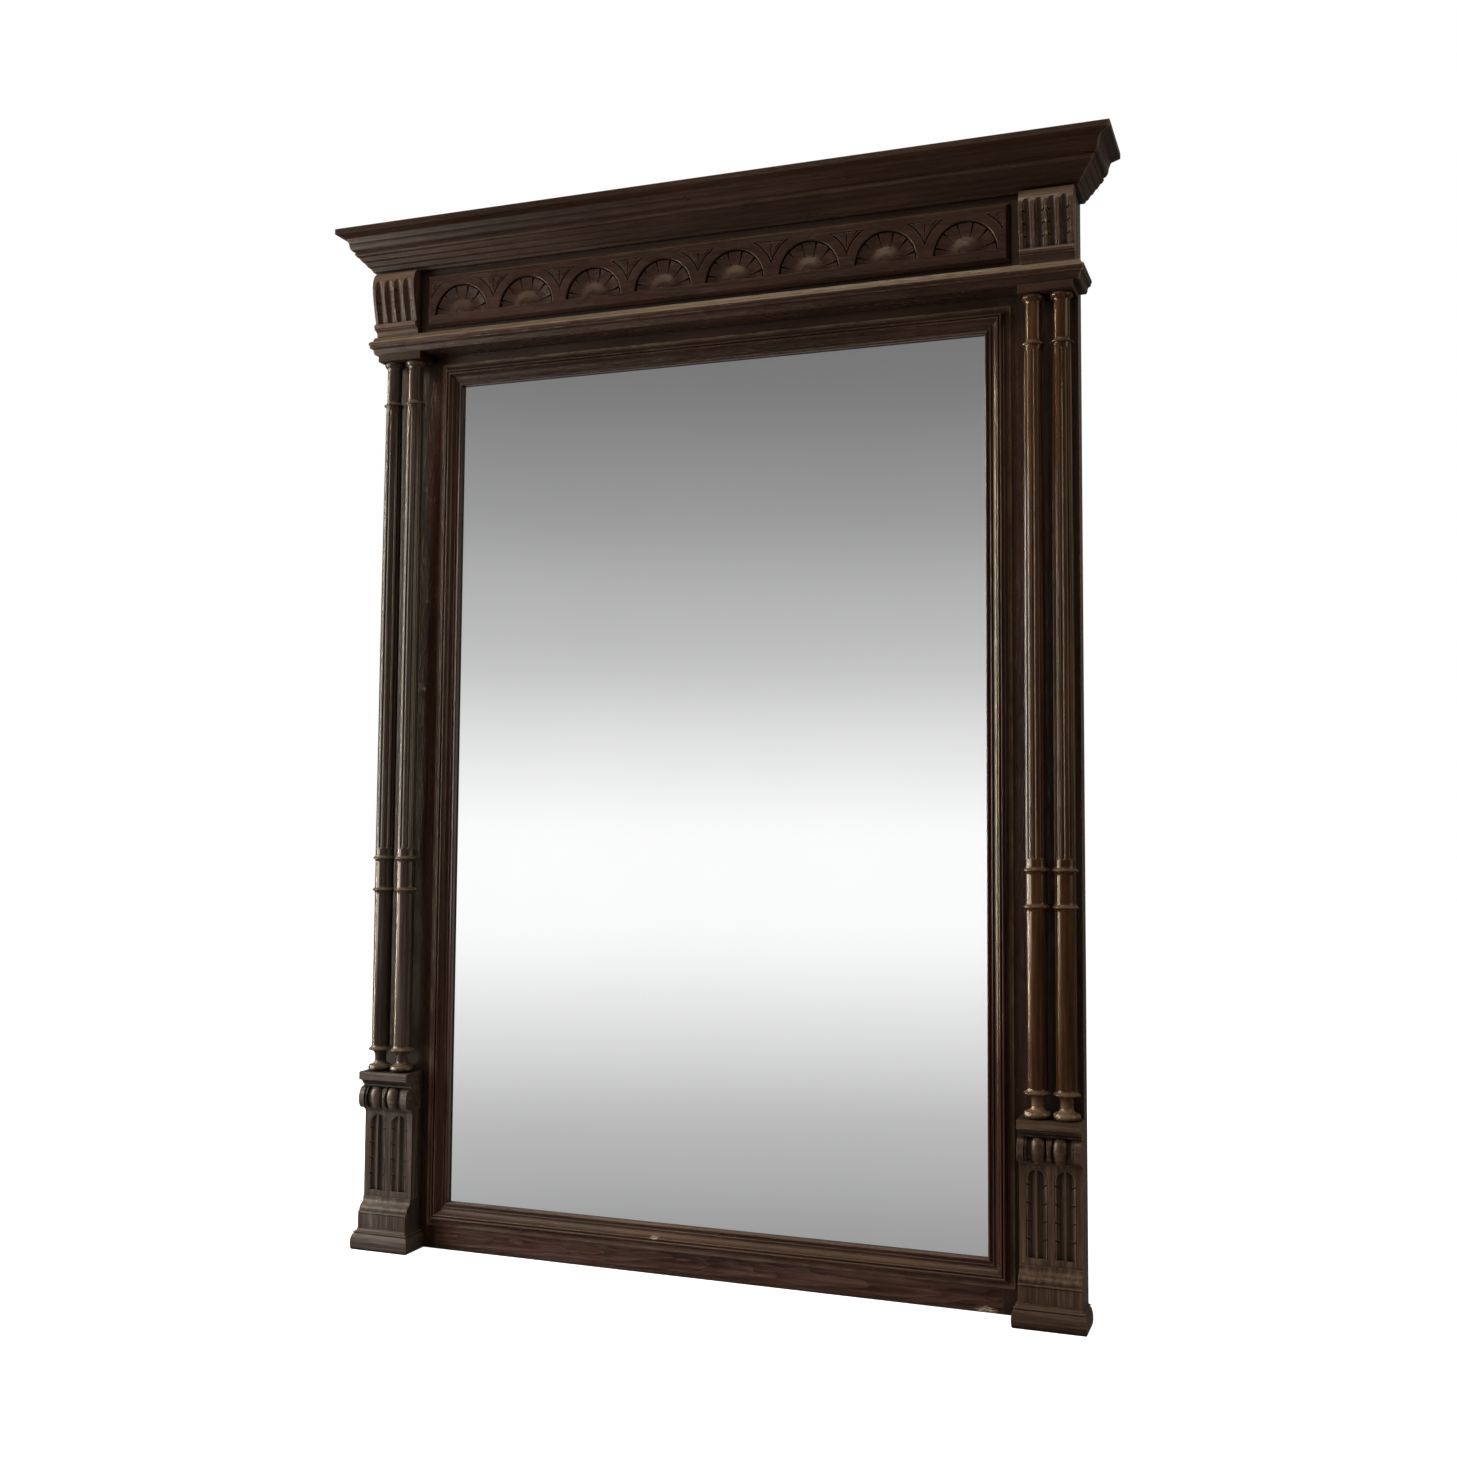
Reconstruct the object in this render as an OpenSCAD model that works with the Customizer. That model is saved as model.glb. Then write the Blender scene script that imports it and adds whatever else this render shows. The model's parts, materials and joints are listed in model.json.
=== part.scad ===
// Overmantel mirror in carved oak: a mortised frame with a rebated looking glass,
// paired colonnettes on fluted pedestals, a carved arcade frieze and a stepped cornice.
// X runs to the viewer's right, the front faces -Y, +Z is up.
// The origin is on the floor, under the middle of the whole mirror.
// Depths named *_d are measured forward from the front face of the stiles.

/* [Frame] */
// Height of the whole mirror
overall_h = 1600; // [1300:1:1900]
// Width across the two stiles
frame_w = 1100; // [900:1:1300]
// Width of each stile
stile_w = 110; // [96:1:140]
// Thickness of the stiles and rails
stile_t = 28; // [25:0.5:40]
// Height of the bottom rail
bottom_rail_h = 52; // [40:1:80]
// Height of the top rail above the glass opening
top_rail_h = 98; // [80:1:110]
// Height of the upper rail behind the cornice
upper_rail_h = 72; // [50:1:84]
// Thickness of the tenons
tenon_t = 10; // [7:0.5:12]
// Length of the tenons
tenon_l = 60; // [40:1:80]
// Shoulder left above and below each tenon
tenon_shoulder = 9; // [5:0.5:12]
// Gap round each tenon in its mortise
tenon_gap = 0.15; // [0.05:0.05:0.4]
// Diameter of the tenon pegs
peg_d = 8; // [5:0.5:10]
// Wood left between a peg's end and the front face
peg_cover = 4; // [2:0.5:6]
// Gap round each peg and each screw in its hole
peg_gap = 0.1; // [0.05:0.05:0.3]

/* [Sight moulding and glass] */
// Width of the sight moulding
sight_w = 37; // [32:0.5:48]
// How far the sight moulding overhangs the opening
sight_lap = 20; // [12:0.5:24]
// Height of the sight moulding's crest above the stile face
sight_crest = 11; // [8:0.5:16]
// Depth of the moulding's tongue inside the opening
sight_tongue = 4; // [2.5:0.5:6]
// Thickness of the looking glass
glass_t = 5; // [3:0.5:6]
// Play at each side of the glass, and above it
glass_play = 1.5; // [0.5:0.5:3]
// Width of the fillets that hold the glass
fillet_w = 10; // [8:0.5:16]
// Depth of the fillets that hold the glass
fillet_t = 8; // [6:0.5:9]
// Thickness of the backing boards
board_t = 8; // [6:0.5:9]
// Gap between neighbouring backing boards
board_gap = 1; // [0.5:0.5:3]
// Number of backing boards
board_count = 3; // [2:1:4]
// Shank diameter of the backing screws
screw_d = 3; // [2.5:0.1:4]
// Length of the backing screws
screw_l = 13; // [11:0.5:14]

/* [Pedestals] */
// Width of each pedestal
pedestal_w = 84; // [78:1:92]
// Distance by which a pedestal stands out beyond the stile's edge
pedestal_out = 2; // [0:0.5:4]
// Height of the base moulding
base_h = 32; // [26:1:40]
// Projection of the base moulding beyond the plinth
base_proj = 8; // [5:0.5:11]
// Height of the plinth above the base moulding
plinth_h = 46; // [38:1:60]
// Depth of the plinth
plinth_d = 46; // [42:0.5:52]
// Height of the fluted die
die_h = 136; // [120:1:170]
// Depth of the fluted die
die_d = 30; // [26:0.5:34]
// Height of the gadrooned band
gadroon_h = 33; // [28:1:40]
// Depth of the gadrooned band
gadroon_d = 50; // [46:0.5:54]
// Height of the pedestal cap with its cove
cap_h = 23; // [20:1:30]
// Depth of the pedestal cap
cap_d = 50; // [46:0.5:56]
// Width of each arch on the die
arch_w = 29; // [26:0.5:31]
// Distance between the two arches' centre lines
arch_pitch = 38; // [36:0.5:40]
// Depth of the flutes on the die
flute_depth = 4.5; // [2.5:0.25:5]
// Width of the sharp ridge between an arch's two flutes
ridge_w = 1.2; // [0.6:0.1:3]
// Width of the groove that outlines each arch
groove_w = 1.2; // [0.8:0.1:2]
// Number of notches on each side of an arch
notch_count = 4; // [2:1:5]
// Width of the two eggs on the gadrooned band
egg_w = 22; // [18:0.5:23]
// Width of the dart between the eggs
dart_w = 7; // [4:0.5:9]

/* [Colonnettes] */
// Distance between the two colonnettes of a pair
column_pitch = 38.5; // [38:0.5:41]
// Distance from the stile's outer edge to the middle of a pair
column_inset = 38.5; // [37:0.5:42]
// Depth of the colonnettes' axes
column_d = 24; // [20:0.5:28]
// Diameter of the shaft at its lower end
shaft_foot_d = 28; // [24:0.5:30]
// Diameter of the shaft at the middle of its flutes
shaft_mid_d = 29; // [24:0.5:31]
// Diameter of the neck under the top ring
neck_d = 23; // [20:0.5:25]
// Diameter of the two rings below the flutes
ring_d = 35.5; // [32:0.5:36]
// Diameter of the thin ring above the flutes
neck_ring_d = 32; // [29:0.5:34]
// Diameter of the narrow neck in a colonnette's base
scotia_d = 17.5; // [15:0.5:22]
// Number of flutes round a shaft
column_flutes = 10; // [8:1:14]
// Diameter of the spigots on the colonnettes' ends
spigot_d = 10; // [8:0.5:14]
// Length of the spigots on the colonnettes' ends
spigot_l = 7; // [5:0.5:9]
// Height of the block above each pair of colonnettes
impost_h = 12; // [10:0.5:20]
// Width of the block above each pair of colonnettes
impost_w = 76; // [72:1:84]
// Depth of the block above each pair of colonnettes
impost_d = 44; // [41:0.5:47]

/* [Entablature] */
// Height of the ledge moulding under the frieze
ledge_h = 28; // [22:1:36]
// Projection of the ledge moulding beyond the frieze
ledge_proj = 15.5; // [13:0.5:20]
// Rail left showing between the ledge and the sight moulding
rail_reveal = 14; // [8:1:30]
// Height of the frieze
frieze_h = 102; // [94:1:120]
// Depth of the frieze's face
frieze_d = 34; // [31:0.5:38]
// Thickness of the frieze board
frieze_t = 22; // [16:0.5:24]
// Width of the packing block behind each end of the frieze board
packing_w = 60; // [40:1:90]
// Width of each console block
console_w = 75; // [71:1:79]
// Distance by which a console stands out beyond the stile's edge
console_out = 3; // [0:0.5:5]
// Depth of the console blocks at their fullest
console_d = 60; // [57:0.5:63]
// Depth of the flutes on the console blocks
console_flute_depth = 4.5; // [3:0.25:5.5]
// Projection of the cornice beyond the frieze
cornice_proj = 56; // [46:1:66]
// Height of the crown moulding
crown_h = 38; // [32:1:46]
// Height of the bed moulding under the crown
bed_h = 29; // [24:1:36]
// Thickness of the board that closes the top
top_board_t = 8; // [6:0.5:12]

/* [Carved panel] */
// Plain frieze left between the carved panel and each console
panel_gap = 15; // [10:0.5:40]
// Least width of the pier between two arcades
least_pier = 17; // [14:0.5:32]
// Inner radius of the arcades
arcade_r = 45.5; // [42:0.5:48]
// Width of the band round each arcade
arcade_band = 14; // [12.5:0.5:15]
// Depth to which the arcades are sunk
arcade_depth = 7; // [5:0.5:8]
// Number of deep cuts between the petals of each shell
shell_petals = 6; // [4:1:8]
// Margin of the panel beyond its last arcade
panel_end = 12; // [9:0.5:16]
// Height of the panel's flat face
panel_h = 74.5; // [72:0.5:80]
// Plain frieze left under the panel's flat face
panel_foot = 12; // [8:0.5:14]
// Thickness of the panel
panel_t = 10; // [9:0.5:12]
// Width of the bevel round the panel
bevel_w = 4.5; // [3:0.5:6]

/* [Hidden] */
$fn = 48;

// Wood colours
oak = "#4a2e22";
oak_light = "#6b4630";
pine = "#a98a5e";

// Reach of a cutting solid past the face that it opens
over = 1;

// Depths and planes
overall_d = stile_t + frieze_d + cornice_proj;
wall_y = overall_d / 2;
face_y = wall_y - stile_t;
half_w = frame_w / 2;
opening_x = half_w - stile_w;

// Levels, from the top down
crown_z = overall_h - crown_h;
bed_z = crown_z - bed_h;
frieze_z = bed_z - frieze_h;
ledge_z = frieze_z - ledge_h;
impost_z = ledge_z - impost_h;
top_board_z = overall_h - top_board_t;
opening_top = ledge_z - rail_reveal - (sight_w - sight_lap);
opening_bottom = bottom_rail_h;

// Levels of a pedestal, from the floor up
plinth_z = base_h;
die_z = plinth_z + plinth_h;
gadroon_z = die_z + die_h;
cap_z = gadroon_z + gadroon_h;
pedestal_top = cap_z + cap_h;

// Middle lines of the pedestals, and of the colonnettes with their blocks
pedestal_x = half_w + pedestal_out - pedestal_w / 2;
pair_x = half_w - column_inset;

// Edges of the glass that show
sight_x = opening_x - sight_lap;
sight_bottom = opening_bottom + sight_lap;
sight_top = opening_top - sight_lap;

// Plane at a depth in front of the stile face
function at(d) = face_y - d;

// Points of a cubic curve through two ends and two handles, without its first point
function curve(a, b, c, e, n = 8) = [
    for (i = [1 : n]) let (t = i / n, s = 1 - t)
        s * s * s * a + 3 * s * s * t * b + 3 * s * t * t * c + t * t * t * e
];

// Quarter curve that leaves the first point level and reaches the second one upright
ease = 0.55;
function turn_up(a, b, n = 6) =
    curve(a, [a[0] + ease * (b[0] - a[0]), a[1]], [b[0], b[1] - ease * (b[1] - a[1])], b, n);

// Quarter curve that leaves the first point upright and reaches the second one level
function turn_out(a, b, n = 6) =
    curve(a, [a[0], a[1] + ease * (b[1] - a[1])], [b[0] - ease * (b[0] - a[0]), b[1]], b, n);

// S-shaped curve that is upright at both of its points
function sway(a, b, n = 8) =
    curve(a, [a[0], a[1] + ease * (b[1] - a[1])], [b[0], b[1] - ease * (b[1] - a[1])], b, n);

// Points of a round arc, angles in degrees
function arc(centre, r, a0, a1, n = 8) = [
    for (i = [0 : n]) centre + r * [cos(a0 + (a1 - a0) * i / n), sin(a0 + (a1 - a0) * i / n)]
];

// A bar along X whose section is a list of [depth, z]
module bar_x(section, x0, x1) {
    translate([x0, 0, 0])
        rotate([90, 0, 90])
            linear_extrude(x1 - x0)
                polygon([for (p = section) [at(p[0]), p[1]]]);
}

// A bar along Y whose section is a list of [x, z]
module bar_y(section, y0, y1) {
    translate([0, y1, 0])
        rotate([90, 0, 0])
            linear_extrude(y1 - y0)
                polygon(section);
}

// A box between two x values, two depths and two levels
module slab(x0, x1, d0, d1, z0, z1) {
    translate([x0, at(d1), z0])
        cube([x1 - x0, d1 - d0, z1 - z0]);
}

// A round rod along Y between two depths
module rod_y(x, z, d0, d1, dia) {
    translate([x, at(d0), z])
        rotate([90, 0, 0])
            cylinder(h = d1 - d0, d = dia);
}

// Turns a shape drawn in X and Y, with its height in Z, to face forward from a depth
module facing(d) {
    translate([0, at(d), 0])
        rotate([90, 0, 0])
            children();
}

// A V-shaped cut along X whose bottom falls from one [x, height] to another
vee_w = 4.5;
vee_h = 5;
module vee(a, b) {
    slope = atan((a[1] - b[1]) / (b[0] - a[0]));
    translate([a[0], 0, a[1]])
        rotate([0, slope, 0])
            rotate([90, 0, 90])
                linear_extrude((b[0] - a[0]) / cos(slope))
                    polygon([[0, 0], [vee_w / 2, vee_h], [-vee_w / 2, vee_h]]);
}

// The left side is made as the mirror image of the right one
module on_side(side) {
    if (side < 0) mirror([1, 0, 0]) children();
    else children();
}

// Joints of the frame: each rail's tenon as [lower level, upper level]
bottom_tenon = [tenon_shoulder, bottom_rail_h - tenon_shoulder];
top_rail_z1 = opening_top + top_rail_h;
top_tenon = [opening_top + tenon_shoulder, top_rail_z1 - tenon_shoulder];
upper_rail_z0 = top_board_z - upper_rail_h;
upper_tenon = [upper_rail_z0 + tenon_shoulder, top_board_z - tenon_shoulder];
tenons = [bottom_tenon, top_tenon, upper_tenon];
tenon_d0 = -(stile_t + tenon_t) / 2;
tenon_d1 = tenon_d0 + tenon_t;
peg_x = opening_x + tenon_l / 2;

// Levels of the pegs: one in a low tenon, two in a tall one
tall_tenon = 60;
function peg_levels(t) = t[1] - t[0] < tall_tenon
    ? [(t[0] + t[1]) / 2]
    : [t[0] + (t[1] - t[0]) / 4, t[1] - (t[1] - t[0]) / 4];

module pegs(dia, d0) {
    for (t = tenons)
        for (z = peg_levels(t))
            rod_y(peg_x, z, d0, -peg_cover, dia);
}

module peg_set() {
    color(pine)
        for (side = [-1, 1])
            on_side(side)
                pegs(peg_d, -stile_t);
}

module stile() {
    color(oak)
        difference() {
            slab(opening_x, half_w, -stile_t, 0, 0, top_board_z);
            for (t = tenons)
                slab(opening_x - over, opening_x + tenon_l + tenon_gap,
                     tenon_d0 - tenon_gap, tenon_d1 + tenon_gap,
                     t[0] - tenon_gap, t[1] + tenon_gap);
            pegs(peg_d + 2 * peg_gap, -stile_t - over);
        }
}

module rail(z0, z1, t) {
    color(oak)
        difference() {
            union() {
                slab(-opening_x, opening_x, -stile_t, 0, z0, z1);
                slab(-opening_x - tenon_l, opening_x + tenon_l, tenon_d0, tenon_d1, t[0], t[1]);
            }
            for (side = [-1, 1])
                on_side(side)
                    for (z = peg_levels(t))
                        rod_y(peg_x, z, -stile_t - over, over, peg_d + 2 * peg_gap);
        }
}

// Section of the sight moulding as [distance out from the glass edge, height], front side:
// a bead, a quirk, a smaller bead, a cove, two reeds of which the outer one is higher, and a foot
sight_bead = 4;
bead_axis = 1.5;
quirk_w = 2.5;
quirk_h = 1.2;
small_bead = 3;
small_bead_x = sight_bead + quirk_w;
cove_x = small_bead_x + small_bead;
cove_end = 17.2;
cove_h = sight_crest - 2.4;
reed = 3.4;
reed_gap = 0.6;
reed_valley = sight_crest - 3.2;
reed_step = 0.6;
reed_1_x = cove_end + reed_gap;
reed_2_x = reed_1_x + reed + 1.6 * reed_gap;
reed_axis = sight_crest - reed / 2;
foot_w = 4;
foot_h = 2;
foot_edge = 1.2;
sight_front = concat(
    [[0, 0]],
    arc([sight_bead / 2, bead_axis], sight_bead / 2, 180, 0, 6),
    [[sight_bead, quirk_h]],
    arc([small_bead_x + small_bead / 2, quirk_h], small_bead / 2, 180, 0, 4),
    turn_up([cove_x, quirk_h], [cove_end, cove_h]),
    [[reed_1_x, reed_valley]],
    arc([reed_1_x + reed / 2, reed_axis - reed_step], reed / 2, 180, 0, 6),
    [[reed_1_x + reed + reed_gap, reed_valley]],
    arc([reed_2_x + reed / 2, reed_axis], reed / 2, 180, 0, 6),
    turn_out([reed_2_x + reed, reed_axis], [sight_w - foot_w, foot_h]),
    [[sight_w - foot_w, foot_edge], [sight_w, foot_edge], [sight_w, 0]]
);
sight_section = concat(sight_front,
    [[sight_lap - tenon_gap, 0], [sight_lap - tenon_gap, -sight_tongue], [0, -sight_tongue]]);

// Mitred window that bounds the right moulding or the top one
module mitre_upright() {
    bar_y([[sight_x, sight_bottom], [sight_x + sight_w, sight_bottom - sight_w],
           [sight_x + sight_w, sight_top + sight_w], [sight_x, sight_top]],
          at(sight_crest + over), at(-sight_tongue - over));
}

module mitre_level(z, up) {
    bar_y([[-sight_x, z], [sight_x, z], [sight_x + sight_w, z + up * sight_w],
           [-sight_x - sight_w, z + up * sight_w]],
          at(sight_crest + over), at(-sight_tongue - over));
}

module sight_upright() {
    color(oak)
        intersection() {
            translate([0, 0, sight_bottom - sight_w])
                linear_extrude(sight_top - sight_bottom + 2 * sight_w)
                    polygon([for (p = sight_section) [sight_x + p[0], at(p[1])]]);
            mitre_upright();
        }
}

module sight_level(z, up) {
    color(oak)
        intersection() {
            bar_x([for (p = sight_section) [p[1], z + up * p[0]]], -sight_x - sight_w, sight_x + sight_w);
            mitre_level(z, up);
        }
}

// Looking glass and what holds it
glass_d0 = -sight_tongue - glass_t;
fillet_d0 = glass_d0 - fillet_t;
board_d0 = fillet_d0 - board_t;
fillet_x = opening_x - fillet_w;
board_w = (2 * opening_x - (board_count + 1) * board_gap) / board_count;
screw_inset = fillet_w / 2;
screw_rows = 4;
head_d = 2 * screw_d;
head_h = screw_d / 2;

module glass_pane() {
    color("lightsteelblue")
        slab(-opening_x + glass_play, opening_x - glass_play, glass_d0, -sight_tongue,
             opening_bottom, opening_top - glass_play);
}

// Centres of the backing screws as [x, z]
function board_x(i) = -opening_x + board_gap + (i + 0.5) * (board_w + board_gap) - board_gap / 2;
screw_span = opening_top - opening_bottom - 2 * screw_inset;
side_screws = [
    for (side = [-1, 1]) for (k = [1 : screw_rows])
        [side * (opening_x - screw_inset), opening_bottom + screw_inset + screw_span * k / (screw_rows + 1)]
];
end_screws = [
    for (i = [0 : board_count - 1]) for (s = [-1, 1])
        for (z = [opening_bottom + screw_inset, opening_top - screw_inset])
            [board_x(i) + s * board_w / 4, z]
];
screw_points = concat(side_screws, end_screws);

module screw_shanks(d0, dia) {
    for (p = screw_points)
        rod_y(p[0], p[1], d0, board_d0 + screw_l, dia);
}

module screw_heads(extra) {
    for (p = screw_points)
        translate([p[0], at(board_d0) + extra, p[1]])
            rotate([90, 0, 0])
                cylinder(h = head_h + extra, d1 = head_d + 2 * extra, d2 = screw_d);
}

module glass_fillet(x0, x1, z0, z1) {
    color(pine)
        difference() {
            slab(x0, x1, fillet_d0, glass_d0, z0, z1);
            screw_shanks(fillet_d0 - over, screw_d + 2 * peg_gap);
        }
}

module boards() {
    color(pine)
        difference() {
            for (i = [0 : board_count - 1])
                slab(board_x(i) - board_w / 2, board_x(i) + board_w / 2, board_d0, fillet_d0,
                     opening_bottom + board_gap, opening_top - board_gap);
            screw_shanks(board_d0 - over, screw_d + 2 * peg_gap);
            screw_heads(peg_gap);
        }
}

module screws() {
    color("dimgray") {
        screw_shanks(board_d0 + head_h, screw_d);
        screw_heads(0);
    }
}

// Base moulding of a pedestal: the same profile runs round three sides
base_step = 5;
base_lip = 4.6;
base_lip_h = 1.6;
base_quirk = 1.4;
base_waist = base_h * 0.3;
base_under = 2;
base_lip_z = base_h - base_step - base_lip_h;
function base_profile() = concat(
    [[0, base_h]],
    turn_out([0, base_h], [base_lip, base_h - base_step], 4),
    [[base_lip, base_lip_z], [base_lip - base_quirk, base_lip_z - base_quirk / 2]],
    turn_up([base_lip - base_quirk, base_lip_z - base_quirk / 2], [base_proj, base_waist], 5),
    turn_out([base_proj, base_waist], [base_proj - base_under, 0], 4)
);

module base_moulding() {
    x0 = pedestal_x - pedestal_w / 2;
    x1 = pedestal_x + pedestal_w / 2;
    front = [for (p = base_profile()) [plinth_d + p[0], p[1]]];
    inner = [for (p = base_profile()) [x0 - p[0], p[1]]];
    outer = [for (p = base_profile()) [x1 + p[0], p[1]]];
    far = 2 * base_proj;
    color(oak)
        intersection() {
            bar_x(concat([[0, 0], [0, base_h]], front), x0 - far, x1 + far);
            bar_y(concat(inner, [for (i = [len(outer) - 1 : -1 : 0]) outer[i]]),
                  at(plinth_d + far), face_y);
        }
}

// Plinth: an upright face below, a small bead, a sloping weathering and a lip under the die
plinth_face_h = 22;
plinth_in = 1;
plinth_bead = 3;
plinth_arris = 1;
weathering_in = 4;
plinth_lip_out = 1.5;
plinth_lip_h = 3;

module plinth() {
    z1 = plinth_z + plinth_face_h;
    face = plinth_d - plinth_in;
    x0 = pedestal_x - pedestal_w / 2;
    color(oak)
        bar_x(concat(
                [[0, plinth_z], [face, plinth_z], [face, z1 - plinth_arris], [face - plinth_arris, z1]],
                arc([plinth_d - plinth_bead / 2, z1 + plinth_bead / 2], plinth_bead / 2, -90, 120, 6),
                [[plinth_d - weathering_in, z1 + plinth_bead]],
                sway([plinth_d - weathering_in, z1 + plinth_bead + plinth_arris],
                     [die_d + plinth_lip_out, die_z - plinth_lip_h]),
                [[die_d + plinth_lip_out, die_z], [0, die_z]]),
              x0, x0 + pedestal_w);
}

// Outline of a round-headed arch, centred on x = 0, as [x, z]
module arch_outline(w, z0, z1) {
    translate([0, z1 - w / 2])
        circle(d = w);
    translate([-w / 2, z0])
        square([w, z1 - w / 2 - z0]);
}

// The same arch as a solid along Y, centred on an x value, between two depths
module arch_prism(x, w, z0, z1, d0, d1) {
    translate([x, at(d0), 0])
        rotate([90, 0, 0])
            linear_extrude(d1 - d0)
                arch_outline(w, z0, z1);
}

// Two round flutes side by side under one arch, inside an outline groove
groove_depth = 2.2;
lobe_w = 0.7;
arch_rim = groove_w + lobe_w;
flute_w = (arch_w - ridge_w) / 2 - arch_rim;
flute_r = (flute_w * flute_w / 4 + flute_depth * flute_depth) / (2 * flute_depth);
flute_foot = 9;
arch_margin = 9;

module fluted_arch(x, z0, z1, d) {
    difference() {
        arch_prism(x, arch_w, z0, z1, d - groove_depth, d + over);
        arch_prism(x, arch_w - 2 * groove_w, z0 - over, z1 - groove_w,
                   d - groove_depth - over, d + 2 * over);
    }
    intersection() {
        arch_prism(x, arch_w - 2 * arch_rim, z0, z1 - arch_rim, d - flute_depth - over, d + over);
        for (s = [-1, 1])
            translate([x + s * (flute_w + ridge_w) / 2, at(d - flute_depth + flute_r), z0 - over])
                cylinder(r = flute_r, h = z1 - z0 + 2 * over);
    }
}

// Slanting notches on the outer walls of a pair of flutes, like the barbs of a feather
notch_w = 1.8;
notch_l = 8;
notch_tilt = 35;
notch_depth = 5;
notch_in = 4.2;

module notch(x, z, d, side) {
    facing(d)
        translate([x, z, 0])
            rotate([0, 0, side * notch_tilt])
                translate([-notch_l / 2, -notch_w / 2, -notch_depth])
                    cube([notch_l, notch_w, notch_depth + over]);
}

module notches(x, side, z0, z1, d, count) {
    step = (z1 - z0) / (count + 1);
    for (k = [1 : count])
        notch(x, z0 + k * step, d, side);
}

die_flare_h = 8;
die_flare_out = 5;
die_lip_h = 2;

module die() {
    x0 = pedestal_x - pedestal_w / 2;
    z0 = die_z + flute_foot;
    z1 = gadroon_z - arch_margin;
    color(oak)
        difference() {
            union() {
                slab(x0, x0 + pedestal_w, 0, die_d, die_z, gadroon_z);
                bar_x(concat([[0, gadroon_z - die_flare_h], [die_d, gadroon_z - die_flare_h]],
                             turn_out([die_d, gadroon_z - die_flare_h],
                                      [die_d + die_flare_out, gadroon_z - die_lip_h], 5),
                             [[die_d + die_flare_out, gadroon_z], [0, gadroon_z]]),
                      x0, x0 + pedestal_w);
            }
            for (s = [-1, 1]) {
                fluted_arch(pedestal_x + s * arch_pitch / 2, z0, z1, die_d);
                for (h = [-1, 1])
                    notches(pedestal_x + s * arch_pitch / 2 + h * (arch_w / 2 - notch_in), h,
                            z0, z1, die_d, notch_count);
            }
        }
}

// Gadrooned band: a bulging core with two eggs, a dart between them and scrolls at the ends
side_dart_w = 4;
dart_in = 2.5;
scroll_w = 8.5;
egg_rise = 7;
egg_ends = 0.5;
egg_fullness = 0.55;
egg_lift = 1.15;
egg_points = 10;

// Depth profile of the band, from its foot to its top: a bulge, fullest below its middle
band_foot_in = 10;
band_head_in = 12;
band_full = 0.45;
function band_profile(d) = concat(
    [[d - band_foot_in, gadroon_z]],
    turn_up([d - band_foot_in, gadroon_z], [d, gadroon_z + gadroon_h * band_full]),
    turn_out([d, gadroon_z + gadroon_h * band_full], [d - band_head_in, cap_z])
);

module band_bar(d, x0, x1) {
    bar_x(concat([[0, cap_z], [0, gadroon_z]], band_profile(d)), x0, x1);
}

// An egg: an upright turned oval, fullest a little above its middle
function egg_r(t) = egg_ends + (1 - egg_ends) * pow(sin(180 * pow(t, egg_lift)), egg_fullness);

module egg(x) {
    r = egg_w / 2;
    translate([x, at(gadroon_d - r), gadroon_z])
        rotate_extrude()
            polygon(concat([[0, 0]],
                           [for (t = [0 : 1 / egg_points : 1]) [r * egg_r(t), gadroon_h * t]],
                           [[0, gadroon_h]]));
}

// A dart: a rib along the band's profile with a rounded front
module dart(x, w) {
    d = gadroon_d - dart_in;
    intersection() {
        band_bar(d, x - w / 2, x + w / 2);
        translate([x, 0, gadroon_z - over])
            linear_extrude(gadroon_h + 2 * over)
                polygon([for (p = concat([[-w / 2, 0]], arc([0, d - w / 2], w / 2, 180, 0, 8), [[w / 2, 0]]))
                    [p[0], at(p[1])]]);
    }
}

module gadroon_band() {
    x0 = pedestal_x - pedestal_w / 2;
    x1 = x0 + pedestal_w;
    color(oak) {
        band_bar(gadroon_d - egg_rise, x0, x1);
        dart(pedestal_x, dart_w);
        for (s = [-1, 1]) {
            egg(pedestal_x + s * (dart_w + egg_w) / 2);
            dart(pedestal_x + s * (pedestal_w / 2 - scroll_w - side_dart_w / 2), side_dart_w);
        }
        for (x = [x0, x1 - scroll_w])
            band_bar(gadroon_d, x, x + scroll_w);
    }
}

// Pedestal cap: a square slab over a cove and a fillet, bored for the colonnettes
abacus_h = 11.5;
abacus_arris = 1;
cove_d = 14;
cap_fillet_h = 3;
cap_fillet_out = 3;
cap_lip = 2;

module pedestal_cap() {
    x0 = pedestal_x - pedestal_w / 2;
    z1 = pedestal_top - abacus_h;
    fillet_d = cap_d - cove_d;
    color(oak)
        difference() {
            bar_x(concat([[0, cap_z], [fillet_d, cap_z], [fillet_d, cap_z + cap_fillet_h]],
                         turn_out([fillet_d + cap_fillet_out, cap_z + cap_fillet_h],
                                  [cap_d - cap_lip, z1 - abacus_arris]),
                         [[cap_d, z1], [cap_d, pedestal_top - abacus_arris],
                          [cap_d - abacus_arris, pedestal_top], [0, pedestal_top]]),
                  x0, x0 + pedestal_w);
            for (s = [-1, 1])
                translate([pair_x + s * column_pitch / 2, at(column_d), pedestal_top - spigot_l - tenon_gap])
                    cylinder(d = spigot_d + 2 * tenon_gap, h = spigot_l + over);
        }
}

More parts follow.
